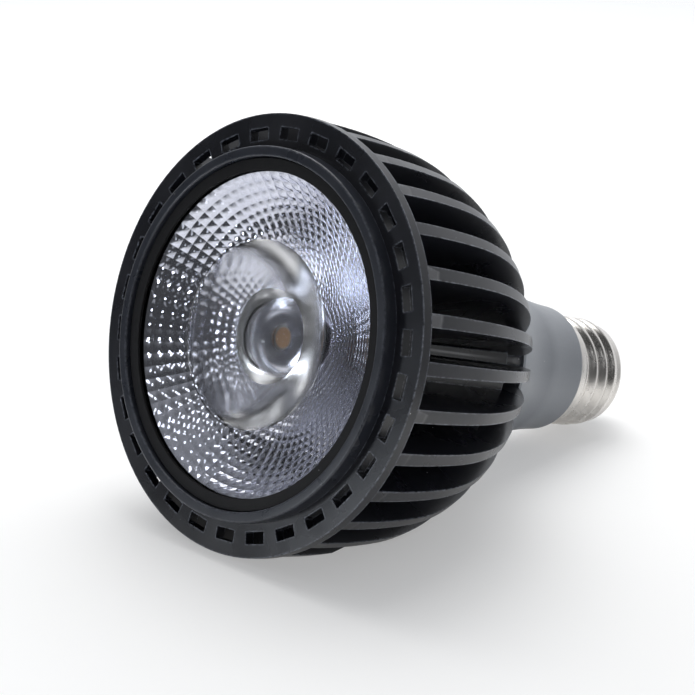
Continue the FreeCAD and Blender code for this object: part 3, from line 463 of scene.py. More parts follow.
@dataclass(frozen=True)
class SpunMetalFinish(Finish):
    """Plated sheet metal with faint lines round the lamp's axis and small scuffs."""

    lines: float = 1400.0
    line_waver: float = 40.0
    scuff_scale: float = 900.0
    scuff_span: Span = (0.58, 0.7)
    scuff_colour_share: float = 0.35
    scuff_roughness: float = 0.15

    def lay(self, bench: Bench) -> None:
        """Lay a metal surface with lines that run round the axis.

        Args:
            bench: the material's tree.
        """
        place = bench.add("TexCoord").outputs["Object"]
        stretch = bench.add("Mapping", {"Vector": place, "Scale": (self.line_waver, self.line_waver, self.lines)})
        rings = bench.add("TexNoise", {"Vector": stretch.outputs[0], "Scale": 1.0, "Detail": 3.0})
        slow, colour = self.drift(bench, place)
        scuffs = bench.add("TexNoise", {"Vector": place, "Scale": self.scuff_scale, "Detail": 5.0, "Roughness": 0.7})
        marks = bench.ramp(scuffs.outputs["Fac"], self.scuff_span)
        share = bench.math(Sum.MULTIPLY, marks, self.scuff_colour_share)
        colour = bench.blend(share, colour, opaque(self.wear_and_sheen_colour))
        swing = bench.math(Sum.MULTIPLY, slow, self.roughness_swing)
        dull = bench.math(Sum.MULTIPLY, marks, self.scuff_roughness)
        rough = bench.math(Sum.ADD, bench.math(Sum.ADD, swing, self.roughness), dull)
        shader = bench.add("BsdfPrincipled", {
            "Base Color": colour, "Roughness": rough, "Metallic": 1.0,
            "Normal": self.relief(bench, rings.outputs["Fac"]),
        })
        bench.add("OutputMaterial", {"Surface": shader.outputs[0]})


@dataclass(frozen=True)
class FloorFinish(Finish):
    """Pale sheet that fades into the white surroundings and is seen from its upper side only.

    The lifts are the shares of plain white that the camera and glossy surfaces see in it. In
    glossy surfaces it ends sooner, as the small sheet that the lamp lies on.
    """

    fade_span: Span = (0.4, 0.78)
    gloss_fade_span: Span = (0.1, 0.18)
    seen_lift: float = 0.36
    gloss_lift: float = 0.18

    def lay(self, bench: Bench) -> None:
        """Lay a pale matt surface with a fading edge.

        Args:
            bench: the material's tree.
        """
        place = bench.add("TexCoord").outputs["Object"]
        fine = bench.add("TexNoise", {"Vector": place, "Scale": self.mottle, "Detail": 3.0})
        shader = bench.add("BsdfPrincipled", {
            "Base Color": bench.blend(fine.outputs["Fac"], opaque(self.base), opaque(self.accent)),
            "Roughness": self.roughness, "Specular IOR Level": self.specular,
        })
        glow = bench.add("Emission", {"Color": opaque(WHITE), "Strength": 1.0})
        paths = bench.add("LightPath")
        gloss = bench.math(Sum.LARGER, paths.outputs["Is Glossy Ray"], paths.outputs["Is Transmission Ray"])
        lift = bench.math(Sum.LARGER, bench.math(Sum.MULTIPLY, paths.outputs["Is Camera Ray"], self.seen_lift),
                          bench.math(Sum.MULTIPLY, gloss, self.gloss_lift))
        lit = bench.add("MixShader", {0: lift, 1: shader.outputs[0], 2: glow.outputs[0]})
        apart = bench.add("VectorMath", {0: place}, operation="LENGTH").outputs["Value"]
        near_edge = bench.math(Sum.MULTIPLY, bench.ramp(apart, self.gloss_fade_span), gloss)
        edge = bench.math(Sum.LARGER, bench.ramp(apart, self.fade_span), near_edge)
        gone = bench.math(Sum.LARGER, edge, bench.add("NewGeometry").outputs["Backfacing"])
        clear = bench.add("BsdfTransparent")
        mixed = bench.add("MixShader", {0: gone, 1: lit.outputs[0], 2: clear.outputs[0]})
        bench.add("OutputMaterial", {"Surface": mixed.outputs[0]})


# On these two black finishes the light bluish edge colour is a painted highlight along the rounded edges as well as
# rubbed paint.
POWDER_COAT = Finish("powder_coat_black", (0.010, 0.0108, 0.015), (0.019, 0.0205, 0.028), roughness=0.3,
                     specular=0.65, grain=2600.0, grain_depth=0.000006, mottle=45.0, wear_and_sheen=1.0,
                     wear_and_sheen_colour=(0.25, 0.27, 0.32), dust=0.16)
SATIN_BEZEL = Finish("satin_bezel_black", (0.022, 0.025, 0.034), (0.032, 0.036, 0.048), roughness=0.32,
                     specular=0.55, grain=3800.0, grain_depth=0.000005, mottle=80.0, wear_and_sheen=0.8,
                     wear_and_sheen_colour=(0.26, 0.28, 0.33), dust=0.14)
GASKET_RUBBER = Finish("gasket_rubber_black", (0.010, 0.010, 0.011), (0.018, 0.018, 0.02), roughness=0.7,
                       specular=0.3, grain=2200.0, grain_depth=0.00001, dust=0.1)
MIRROR = MirrorFinish("mirror_plating", (0.83, 0.84, 0.92), (0.89, 0.9, 0.98), roughness=0.05, haze=0.03,
                      grain=1500.0, grain_depth=0.0000006, mottle=120.0, dust=0.1)
CLEAR_COVER = ClearFinish("clear_cover", (0.97, 0.98, 1.0), (0.985, 0.99, 1.0), roughness=0.012,
                          grain_depth=0.000004, mottle=70.0, dust=0.06)
# The neck's plastic is dark grey; this lighter grey is painted reflection and painted light bounced from the floor.
NECK_PLASTIC_AND_REFLECTION = Finish("neck_plastic_with_painted_reflection", (0.21, 0.224, 0.248), (0.245, 0.26, 0.287), roughness=0.36,
                      specular=0.55, grain=5200.0, grain_depth=0.000004, mottle=60.0, wear_and_sheen=0.15, dust=0.08)
NICKEL = SpunMetalFinish("nickel_plating", (0.72, 0.69, 0.65), (0.82, 0.79, 0.75), roughness=0.2,
                         roughness_swing=0.1, grain_depth=0.000008, mottle=120.0, wear_and_sheen_colour=(0.45, 0.42, 0.4))
BLACK_GLASS = Finish("black_glass", (0.012, 0.012, 0.014), (0.02, 0.02, 0.024), roughness=0.14,
                     grain=900.0, grain_depth=0.000004, mottle=140.0, coat=0.4, dust=0.1)
TINNED = SpunMetalFinish("tinned_contact", (0.66, 0.62, 0.55), (0.78, 0.74, 0.66), roughness=0.28,
                         roughness_swing=0.14, grain_depth=0.000012, mottle=300.0, wear_and_sheen_colour=(0.38, 0.32, 0.24))
STEEL = SpunMetalFinish("screw_steel", (0.5, 0.5, 0.51), (0.62, 0.62, 0.64), roughness=0.3,
                        roughness_swing=0.1, grain_depth=0.000006, mottle=350.0, wear_and_sheen_colour=(0.3, 0.3, 0.3))
WHITE_BOARD = Finish("white_board_coat", (0.78, 0.78, 0.76), (0.86, 0.86, 0.84), roughness=0.4, grain=4000.0,
                     mottle=200.0)
PHOSPHOR = Finish("phosphor_gel", (0.74, 0.46, 0.26), (0.84, 0.58, 0.36), roughness=0.35, grain=6000.0,
                  grain_depth=0.00001, mottle=900.0, coat=0.5)
HOLDER_PLASTIC = Finish("holder_plastic_white", (0.72, 0.72, 0.71), (0.82, 0.82, 0.8), roughness=0.42,
                        grain=5000.0, mottle=150.0, wear_and_sheen=0.1, wear_and_sheen_colour=(0.9, 0.9, 0.9))
PAD_GREY = Finish("pad_silicone_grey", (0.36, 0.4, 0.45), (0.46, 0.5, 0.55), roughness=0.75, grain=3500.0,
                  mottle=260.0)
SLEEVE_FILM = Finish("sleeve_film_white", (0.66, 0.66, 0.63), (0.76, 0.76, 0.73), roughness=0.5, grain=2400.0,
                     mottle=70.0)
SOLDER_MASK = Finish("solder_mask_green", (0.01, 0.11, 0.035), (0.02, 0.17, 0.055), roughness=0.28, grain=3600.0,
                     mottle=320.0, coat=0.3)
FERRITE = Finish("ferrite_grey", (0.045, 0.045, 0.048), (0.08, 0.08, 0.085), roughness=0.68, grain=4200.0,
                 grain_depth=0.00002, mottle=240.0)
COPPER_WIRE = SpunMetalFinish("copper_wire", (0.62, 0.26, 0.11), (0.75, 0.36, 0.17), roughness=0.3,
                              roughness_swing=0.1, grain_depth=0.00004, mottle=260.0, lines=900.0,
                              wear_and_sheen_colour=(0.3, 0.12, 0.05))
FILM_CASE = Finish("film_case_ochre", (0.45, 0.3, 0.03), (0.56, 0.39, 0.05), roughness=0.36, grain=3600.0,
                   mottle=180.0)
CAN_SLEEVE = Finish("can_sleeve_navy", (0.016, 0.02, 0.05), (0.026, 0.032, 0.07), roughness=0.26, grain=2600.0,
                    mottle=120.0, coat=0.3)
CHIP_BLACK = Finish("chip_moulding_black", (0.014, 0.014, 0.015), (0.026, 0.026, 0.028), roughness=0.62,
                    grain=6000.0, grain_depth=0.000015, mottle=500.0)
RESISTOR_LACQUER = Finish("resistor_lacquer_green", (0.08, 0.2, 0.12), (0.12, 0.27, 0.17), roughness=0.45,
                          grain=3000.0, mottle=300.0)
RED_WIRE = Finish("wire_sleeve_red", (0.4, 0.012, 0.01), (0.5, 0.02, 0.015), roughness=0.34, grain=3000.0,
                  mottle=200.0)
BLACK_WIRE = Finish("wire_sleeve_black", (0.012, 0.012, 0.012), (0.022, 0.022, 0.023), roughness=0.36,
                    grain=3000.0, mottle=200.0)
WHITE_WIRE = Finish("wire_sleeve_white", (0.66, 0.66, 0.64), (0.76, 0.76, 0.74), roughness=0.36, grain=3000.0,
                    mottle=200.0)
PALE_FLOOR = FloorFinish("pale_floor", (0.94, 0.945, 0.95), (0.955, 0.96, 0.965), roughness=0.85, specular=0.1,
                         mottle=90.0)


# Mesh making


def arc(start: Point, end: Point, radius: float, left: bool, count: int) -> list[Point]:
    """Points of an arc after its start, up to its end.

    Args:
        start: first point, in millimetres.
        end: last point.
        radius: radius of the arc.
        left: whether the centre lies on the left of the line from start to end.
        count: number of points to give.

    Returns:
        The points along the arc.
    """
    chord = Vector((end[0] - start[0], end[1] - start[1]))
    half = chord.length / 2.0
    rise = math.sqrt(max(radius ** 2 - half ** 2, 0.0))
    normal = Vector((-chord.y, chord.x)).normalized() * (1.0 if left else -1.0)
    centre = Vector((start[0] + end[0], start[1] + end[1])) / 2.0 + normal * rise
    first = math.atan2(start[1] - centre.y, start[0] - centre.x)
    last = math.atan2(end[1] - centre.y, end[0] - centre.x)
    turn = (last - first + math.pi) % (2.0 * math.pi) - math.pi
    return [
        (centre.x + radius * math.cos(first + turn * step / count),
         centre.y + radius * math.sin(first + turn * step / count))
        for step in range(1, count + 1)
    ]


def spin_section(section: Iterable[Point], steps: int, closed: bool = True) -> bmesh.types.BMesh:
    """Turn a section once round the lamp's axis.

    Args:
        section: radius and height of its corners, in millimetres.
        steps: number of steps once round.
        closed: whether the last corner is joined to the first.

    Returns:
        A mesh in millimetres with its faces pointing outwards.
    """
    form = bmesh.new()
    corners = [form.verts.new((radius, 0.0, height)) for radius, height in section]
    pairs = list(zip(corners, corners[1:]))
    if closed:
        pairs.append((corners[-1], corners[0]))
    for near, far in pairs:
        if near.co.xy.length > ON_AXIS or far.co.xy.length > ON_AXIS:
            form.edges.new((near, far))
    bmesh.ops.spin(form, geom=form.verts[:] + form.edges[:], cent=(0, 0, 0), axis=(0, 0, 1), dvec=(0, 0, 0),
                   angle=2.0 * math.pi, steps=steps, use_merge=True, use_duplicate=False)
    bmesh.ops.remove_doubles(form, verts=form.verts[:], dist=SAME_PLACE)
    bmesh.ops.recalc_face_normals(form, faces=form.faces[:])
    return form


def round_edges(form: bmesh.types.BMesh, width: float, segments: int) -> None:
    """Bevel the sharp outer edges.

    Args:
        form: mesh to work on.
        width: width of the bevel, in the mesh's units.
        segments: number of strips in each bevel.
    """
    limit = math.radians(ROUNDED_PAST)
    edges = [
        edge for edge in form.edges
        if edge.is_manifold and edge.is_convex and edge.calc_face_angle(0.0) > limit
    ]
    bmesh.ops.bevel(form, geom=edges, offset=width, offset_type="OFFSET", segments=segments, profile=0.5,
                    affect="EDGES", material=-1, clamp_overlap=True, loop_slide=True)


def merged_copy(node: str) -> bmesh.types.BMesh:
    """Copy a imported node's mesh, with its corners joined and its flat faces cleaned.

    Args:
        node: name of the node.

    Returns:
        The mesh, in metres.
    """
    form = bmesh.new()
    form.from_mesh(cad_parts[node].data)
    bmesh.ops.remove_doubles(form, verts=form.verts[:], dist=SAME_PACKED_PLACE)
    bmesh.ops.dissolve_limit(form, angle_limit=math.radians(SAME_PLANE), use_dissolve_boundaries=False,
                             verts=form.verts[:], edges=form.edges[:])
    return form


class Workshop:
    """Turns meshes into dressed pieces that ride on the lamp."""

    def finish_piece(self, name: str, form: bmesh.types.BMesh, finish: Finish,
                     nodes: tuple[str, ...], scale: float = MM, sharp: float = 40.0,
                     weighted: bool = True) -> bpy.types.Object:
        """Make an object of a mesh and dress it.

        Args:
            name: name of the piece.
            form: its mesh, which is freed.
            finish: its surface.
            nodes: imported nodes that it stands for.
            scale: factor from the mesh's units to metres.
            sharp: angle in degrees past which an edge stays sharp.
            weighted: whether large faces lead the shading.

        Returns:
            The new object.
        """
        if scale != 1.0:
            bmesh.ops.scale(form, vec=(scale, scale, scale), verts=form.verts[:])
        mesh = bpy.data.meshes.new(name)
        form.to_mesh(mesh)
        form.free()
        mesh.polygons.foreach_set("use_smooth", [True] * len(mesh.polygons))
        mesh.set_sharp_from_angle(angle=math.radians(sharp))
        piece = bpy.data.objects.new(name, mesh)
        bpy.context.scene.collection.objects.link(piece)
        if weighted:
            lead = piece.modifiers.new("face_lead", "WEIGHTED_NORMAL")
            lead.keep_sharp = True
        mesh.materials.append(finish.material())
        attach(piece, ROOT)
        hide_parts(*nodes)
        LOG.info("%s: %d faces", name, len(mesh.polygons))
        return piece

    def rounded_node(self, node: str, finish: Finish, width: float,
                     segments: int = 2) -> bpy.types.Object:
        """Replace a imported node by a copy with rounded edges.

        Args:
            node: name of the node.
            finish: its surface.
            width: width of the rounding, in millimetres.
            segments: number of strips in each rounding.

        Returns:
            The new object.
        """
        form = merged_copy(node)
        round_edges(form, width * MM, segments)
        return self.finish_piece(f"{node}_form", form, finish, (node,), scale=1.0)

    def paint_node(self, node: str, finish: Finish) -> None:
        """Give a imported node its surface.

        Args:
            node: name of the node.
            finish: its surface.
        """
        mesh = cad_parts[node].data
        mesh.materials.clear()
        mesh.materials.append(finish.material())
        LOG.info("%s: %s", node, finish.name)


SHOP = Workshop()


# The lamp, with sizes in millimetres and angles in degrees


@dataclass
class HeatSink:
    """Finned casting with a vented flange."""

    edge_round: float = 0.4

    def build(self) -> None:
        """Round the casting's edges and dress it."""
        SHOP.rounded_node("heat_sink", POWDER_COAT, self.edge_round)


@dataclass
class FrontTrim:
    """Bezel, gasket and clear cover with its lens."""

    bezel_outer: float = 40.15
    bezel_inner: float = 37.8
    bezel_skirt_outer: float = 39.2
    bezel_skirt_end: float = 7.1
    flange_face: float = 3.5
    bezel_round: float = 0.45
    bezel_strips: int = 4
    front_zone: float = 0.1
    corner_angle: float = 57.3
    gasket_inner: float = 35.0
    gasket_round: float = 0.15
    cover_radius: float = 37.6
    gasket_front: float = 1.1
    cover_front: float = 1.9
    cover_rings: tuple[float, float] = (12.0, 24.0)
    seat_ring: float = 28.0
    cover_sharp: float = 12.0
    lens_radius: float = 20.4
    wall_depth: float = 7.8
    wall_bulge: float = 25.8
    recess_radius: float = 10.4
    recess_depth: float = 5.2
    bead_width: float = 0.5
    bead_height: float = 0.35
    bead_slope: float = 0.8
    curve_parts: int = 24
    steps: int = 240

    def build(self) -> None:
        """Build the three rings of the front."""
        self.build_bezel()
        self.build_gasket()
        self.build_cover()

    def build_bezel(self) -> None:
        """Raised collar with soft edges."""
        section = [
            (self.bezel_inner, 0.0), (self.bezel_outer, 0.0), (self.bezel_outer, self.flange_face),
            (self.bezel_skirt_outer, self.flange_face), (self.bezel_skirt_outer, self.bezel_skirt_end),
            (self.bezel_inner, self.bezel_skirt_end),
        ]
        form = spin_section(section, self.steps)
        front = [
            edge for edge in form.edges
            if edge.calc_face_angle(0.0) > math.radians(self.corner_angle)
            and all(vert.co.z < self.front_zone for vert in edge.verts)
        ]
        bmesh.ops.bevel(form, geom=front, offset=self.bezel_round, segments=self.bezel_strips, profile=0.5,
                        affect="EDGES", material=-1, clamp_overlap=True)
        SHOP.finish_piece("bezel_collar", form, SATIN_BEZEL, ("front_bezel",))

    def build_gasket(self) -> None:
        """Flat ring on the cover's edge."""
        section = [
            (self.gasket_inner, self.gasket_front), (self.cover_radius, self.gasket_front),
            (self.cover_radius, self.cover_front), (self.gasket_inner, self.cover_front),
        ]
        form = spin_section(section, self.steps)
        round_edges(form, self.gasket_round, segments=2)
        SHOP.finish_piece("gasket_ring", form, GASKET_RUBBER, ("cover_gasket",))

    def build_cover(self) -> None:
        """Clear disc with a lens that bulges back and is recessed round the emitter."""
        curve = (self.recess_radius ** 2 + self.recess_depth ** 2) / (2.0 * self.recess_depth)
        mouth = (self.recess_radius, self.flange_face + self.wall_depth)
        apex = (0.0, self.flange_face + self.wall_depth - self.recess_depth)
        bead_level = self.flange_face + self.bead_height
        section = [(radius, self.cover_front) for radius in (0.0, *self.cover_rings, self.cover_radius)]
        section += [(self.cover_radius, self.flange_face), (self.seat_ring, self.flange_face),
                    (self.lens_radius + self.bead_width, self.flange_face),
                    (self.lens_radius + self.bead_width * self.bead_slope, bead_level),
                    (self.lens_radius, bead_level)]
        section += arc(section[-1], mouth, self.wall_bulge, left=True, count=self.curve_parts)
        section += arc(section[-1], apex, curve, left=False, count=self.curve_parts)
        form = spin_section(section, self.steps, closed=False)
        SHOP.finish_piece("cover_with_lens", form, CLEAR_COVER, ("cover_lens",),
                          sharp=self.cover_sharp, weighted=False)


@dataclass
class Reflector:
    """Bowl of pillowed mirror facets in even rows.

    A row and a column are positions in facets, whole numbers on the lines between them.
    """

    rim: float = 34.9
    step: float = 20.4
    step_depth: float = 9.5
    flange_face: float = 3.5
    throat: float = 10.4
    exit_radius: float = 4.0
    exit_level: float = 17.9
    wall: float = 1.1
    outer_rows: int = 8
    inner_rows: int = 7
    facets: int = 76
    cuts: int = 4
    outer_pillow: float = 0.17
    inner_pillow: float = 0.11
    lip: float = 0.8
    lip_width: float = 2.7
    back_parts: int = 6
    facet_sharp: float = 50.0
    touch: float = 1e-3
    pressed_touch: float = 0.02
    rim_touch: float = 1e-2
    line_touch: float = 0.03

    def height(self, radius: float) -> float:
        """Height of the bowl's front at a radius."""
        rise = (self.rim ** 2 - radius ** 2) / (self.rim ** 2 - self.step ** 2)
        return self.flange_face + self.step_depth * rise

    def slope(self, radius: float) -> Vector:
        """Normal of the bowl at a radius, towards the open side, as radius and height."""
        fall = 2.0 * radius * self.step_depth / (self.rim ** 2 - self.step ** 2)
        return Vector((-fall, -1.0)).normalized()

    def front_points(self) -> list[Point]:
        """Corners of the front, divided finely within each row.

        Returns:
            Radius and height of each corner, from the rim to the throat.
        """
        rows = [self.rim + (self.step - self.rim) * row / self.outer_rows for row in range(self.outer_rows)]
        rows += [self.step + (self.throat - self.step) * row / self.inner_rows for row in range(self.inner_rows + 1)]
        points = []
        for near, far in zip(rows, rows[1:]):
            points += [near + (far - near) * part / self.cuts for part in range(self.cuts)]
        points.append(rows[-1])
        return [(radius, self.height(radius)) for radius in points]

    def back_points(self) -> list[Point]:
        """Corners of the back, which follows the front at the wall's thickness.

        Returns:
            Radius and height of each corner, from the throat to just before the rim.
        """
        points = []
        for part in range(self.back_parts):
            radius = self.throat + (self.rim - self.throat) * part / self.back_parts
            normal = self.slope(radius)
            points.append((radius - normal.x * self.wall, self.height(radius) - normal.y * self.wall))
        return points

    def build(self) -> None:
        """Turn the bowl and press the facets into it."""
        edge = self.rim + self.lip_width
        section = self.front_points()
        section += [(self.exit_radius, self.exit_level), (self.exit_radius, self.exit_level + self.wall),
                    (self.exit_radius + self.wall, self.exit_level + self.wall)]
        section += self.back_points()
        section += [(self.rim + self.wall, self.flange_face + self.lip), (edge, self.flange_face + self.lip),
                    (edge, self.flange_face)]
        form = spin_section(section, self.facets * self.cuts)
        self.press(form)
        piece = SHOP.finish_piece("faceted_bowl", form, MIRROR, ("reflector",),
                                  sharp=self.facet_sharp, weighted=False)
        self.crease(piece.data)

    def cell(self, point: Vector) -> tuple[float, float, bool]:
        """Find the facet that a point of the front lies in.

        Args:
            point: the point, in millimetres.

        Returns:
            Its row, its column and whether it lies in the outer rows.
        """
        radius = point.xy.length
        column = math.atan2(point.y, point.x) / (2.0 * math.pi) * self.facets
        if radius >= self.step - SAME_PLACE:
            return (self.rim - radius) / (self.rim - self.step) * self.outer_rows, column, True
        return (self.step - radius) / (self.step - self.throat) * self.inner_rows, column, False

    def on_front(self, point: Vector, beside: float, above: float) -> bool:
        """Whether a point lies on the bowl's front.

        Args:
            point: the point, in millimetres.
            beside: how far it may lie past the throat or the rim.
            above: how far it may lie from the front's own height.

        Returns:
            Whether it lies within both.
        """
        radius = point.xy.length
        within = self.throat - beside <= radius <= self.rim + beside
        return within and abs(point.z - self.height(radius)) < above

    def dome(self, position: float) -> float:
        """Share of a pillow's rise at a position in facets along one way."""
        across = 2.0 * (position - math.floor(position + SAME_PLACE)) - 1.0
        return max(0.0, 1.0 - across ** 2)

    def press(self, form: bmesh.types.BMesh) -> None:
        """Raise each facet into a low pillow.

        Args:
            form: the turned bowl, in millimetres.
        """
        for vert in form.verts:
            radius = vert.co.xy.length
            if not self.on_front(vert.co, self.touch, self.touch):
                continue
            row, column, outer = self.cell(vert.co)
            rise = self.dome(row) * self.dome(column)
            rise *= self.outer_pillow if outer else self.inner_pillow
            normal = self.slope(radius)
            outward = Vector((vert.co.x, vert.co.y, 0.0)).normalized()
            vert.co += (outward * normal.x + Vector((0, 0, normal.y))) * rise

    def crease(self, mesh: bpy.types.Mesh) -> None:
        """Keep the lines between facets sharp.

        Args:
            mesh: the finished bowl, in metres.
        """
        marks = []
        for edge in mesh.edges:
            ends = [mesh.vertices[index].co / MM for index in edge.vertices]
            on_line = False
            if all(self.on_front(end, self.rim_touch, self.pressed_touch) for end in ends):
                lines = [[abs(place - round(place)) < self.line_touch for place in self.cell(end)[:2]] for end in ends]
                on_line = any(first and second for first, second in zip(*lines))
            marks.append(on_line or edge.use_edge_sharp)
        mesh.edges.foreach_set("use_edge_sharp", marks)


@dataclass
class LightSource:
    """Emitter board with its pad, holder and screws."""

    holder_round: float = 0.2
    board_round: float = 0.08
    emitter_round: float = 0.12
    screw_round: float = 0.12

    def build(self) -> None:
        """Dress the light source."""
        SHOP.rounded_node("cob_holder", HOLDER_PLASTIC, self.holder_round)
        SHOP.rounded_node("cob_board", WHITE_BOARD, self.board_round, segments=1)
        SHOP.rounded_node("cob_emitter", PHOSPHOR, self.emitter_round, segments=3)
        for node in ("cob_screw_a", "cob_screw_b"):
            SHOP.rounded_node(node, STEEL, self.screw_round)
        SHOP.paint_node("thermal_pad", PAD_GREY)


@dataclass
class Neck:
    """Flared neck and its screws."""

    edge_round: float = 0.3
    screw_round: float = 0.12

    def build(self) -> None:
        """Round the neck's edges and dress it."""
        SHOP.rounded_node("neck_housing", NECK_PLASTIC_AND_REFLECTION, self.edge_round)
        for node in ("neck_screw_a", "neck_screw_b", "neck_screw_c"):
            SHOP.rounded_node(node, STEEL, self.screw_round)


@dataclass
class ScrewBase:
    """Threaded shell, insulator and centre contact."""

    start: float = 97.0
    end: float = 115.2
    bore: float = 11.7
    crest: float = 13.1
    root: float = 12.2
    foot_round: float = 0.15
    foot_band: float = 1.2
    band_end: float = 99.9
    band_fall: float = 1.2
    pitch: float = 3.629
    first_ridge: float = 100.4
    ridge_softness: float = 0.04
    fade_start: float = 110.6
    fade_end: float = 113.6
    shoulder: float = 1.0
    shoulder_parts: int = 6
    wall: float = 0.5
    lip: float = 9.6
    lip_round: float = 0.1
    insulator_round: float = 0.3
    contact_round: float = 0.25
    steps: int = 180
    row_height: float = 0.14
    touch: float = 1e-3

    def build(self) -> None:
        """Build the shell and dress the base."""
        self.build_shell()
        SHOP.rounded_node("base_insulator", BLACK_GLASS, self.insulator_round, segments=3)
        SHOP.rounded_node("centre_contact", TINNED, self.contact_round, segments=3)

    def ridge(self, height: float, angle: float) -> float:
        """Work out the thread's section, a row of round ridges with softened grooves.

        Args:
            height: height along the axis, in millimetres.
            angle: angle round the axis.

        Returns:
            Share of the thread's depth, from 0 in a groove to 1 on a ridge.
        """
        phase = (height - self.first_ridge) / self.pitch - angle / (2.0 * math.pi)
        wave = math.cos(math.pi * (phase - round(phase)))
        soft = self.ridge_softness
        return (math.sqrt(wave ** 2 + soft) - math.sqrt(soft)) / (math.sqrt(1.0 + soft) - math.sqrt(soft))

    def ease(self, value: float, low: float, high: float) -> float:
        """Smooth step between two values."""
        part = min(max((value - low) / (high - low), 0.0), 1.0)
        return part * part * (3.0 - 2.0 * part)

    def outside(self, height: float, angle: float) -> float:
        """Work out the shell's outside, the larger of its thread and its plain band.

        Args:
            height: height along the axis, in millimetres.
            angle: angle round the axis.

        Returns:
            The radius there.
        """
        depth = self.crest - self.root
        fading = 1.0 - self.ease(height, self.fade_start, self.fade_end)
        thread = self.root + depth * self.ridge(height, angle) * fading
        band = self.root + depth * (1.0 - self.ease(height, self.band_end, self.band_end + self.band_fall))
        return max(thread, band)

    def build_shell(self) -> None:
        """Turn the shell and roll the thread into it."""
        top = self.end - self.shoulder
        rows = int((top - self.band_end) / self.row_height)
        section = [(self.bore, self.start), (self.crest - self.foot_round, self.start),
                   (self.crest, self.start + self.foot_round), (self.crest, self.start + self.foot_band)]
        section += [(self.root, self.band_end + (top - self.band_end) * row / rows) for row in range(rows + 1)]
        section += arc(section[-1], (self.root - self.shoulder, self.end), self.shoulder, left=True,
                       count=self.shoulder_parts)
        section += [(self.lip + self.lip_round, self.end), (self.lip, self.end - self.lip_round),
                    (self.lip, self.end - self.wall), (self.bore, self.end - self.wall)]
        form = spin_section(section, self.steps)
        for vert in form.verts:
            height = vert.co.z
            radius = vert.co.xy.length
            if abs(radius - self.root) < self.touch and self.band_end - self.touch <= height <= top + self.touch:
                grown = self.outside(height, math.atan2(vert.co.y, vert.co.x)) / radius
                vert.co.x *= grown
                vert.co.y *= grown
        SHOP.finish_piece("threaded_shell", form, NICKEL, ("screw_shell",), weighted=False)


@dataclass
class Driver:
    """Circuit inside the casting and the neck."""

    def build(self) -> None:
        """Dress the driver's parts and leads."""
        surfaces = {
            "driver_sleeve": SLEEVE_FILM, "driver_board": SOLDER_MASK, "transformer_core": FERRITE,
            "transformer_winding": COPPER_WIRE, "film_capacitor": FILM_CASE, "input_capacitor": CAN_SLEEVE,
            "bridge_rectifier": CHIP_BLACK, "driver_chip": CHIP_BLACK, "fuse_resistor": RESISTOR_LACQUER,
            "led_lead_red": RED_WIRE, "led_lead_black": BLACK_WIRE, "live_lead": BLACK_WIRE,
            "neutral_lead": WHITE_WIRE,
        }
        for node, finish in surfaces.items():
            SHOP.paint_node(node, finish)


# The studio, in metres


@dataclass(frozen=True)
class SoftLamp:
    """Soft rectangular lamp that faces the lamp's middle.

    Its place is given along the studio's axes, its size as width and height, its power in watts.
    """

    name: str
    place: tuple[float, float, float]
    size: tuple[float, float]
    power: float
    tint: Colour
    mirrored: bool = True

    def build(self, place: Vector, middle: Vector) -> None:
        """Set up the lamp.

        Args:
            place: where it stands, in the part's frame.
            middle: the point that it faces.
        """
        data = bpy.data.lights.new(self.name, "AREA")
        data.shape = "RECTANGLE"
        data.size, data.size_y = self.size
        data.energy = self.power
        data.color = self.tint
        lamp = bpy.data.objects.new(self.name, data)
        lamp.visible_glossy = self.mirrored
        aim = (middle - place).normalized()
        lamp.matrix_world = Matrix.Translation(place) @ aim.to_track_quat("-Z", "Y").to_matrix().to_4x4()
        bpy.context.scene.collection.objects.link(lamp)


LAMPS = (
    SoftLamp("overhead", (-0.02, 0.68, -0.42), (0.9, 0.65), 5.4, (1.0, 0.99, 0.97), mirrored=False),
    SoftLamp("key", (-0.05, 0.62, -0.36), (0.36, 0.28), 1.3, (1.0, 0.99, 0.97)),
    SoftLamp("left_low", (-0.29, -0.005, 0.127), (0.06, 0.05), 0.11, (0.86, 0.92, 1.0)),
    SoftLamp("beside_camera", (-0.2, 0.14, 0.5), (0.05, 0.05), 0.1, (0.9, 0.92, 1.0)),
)


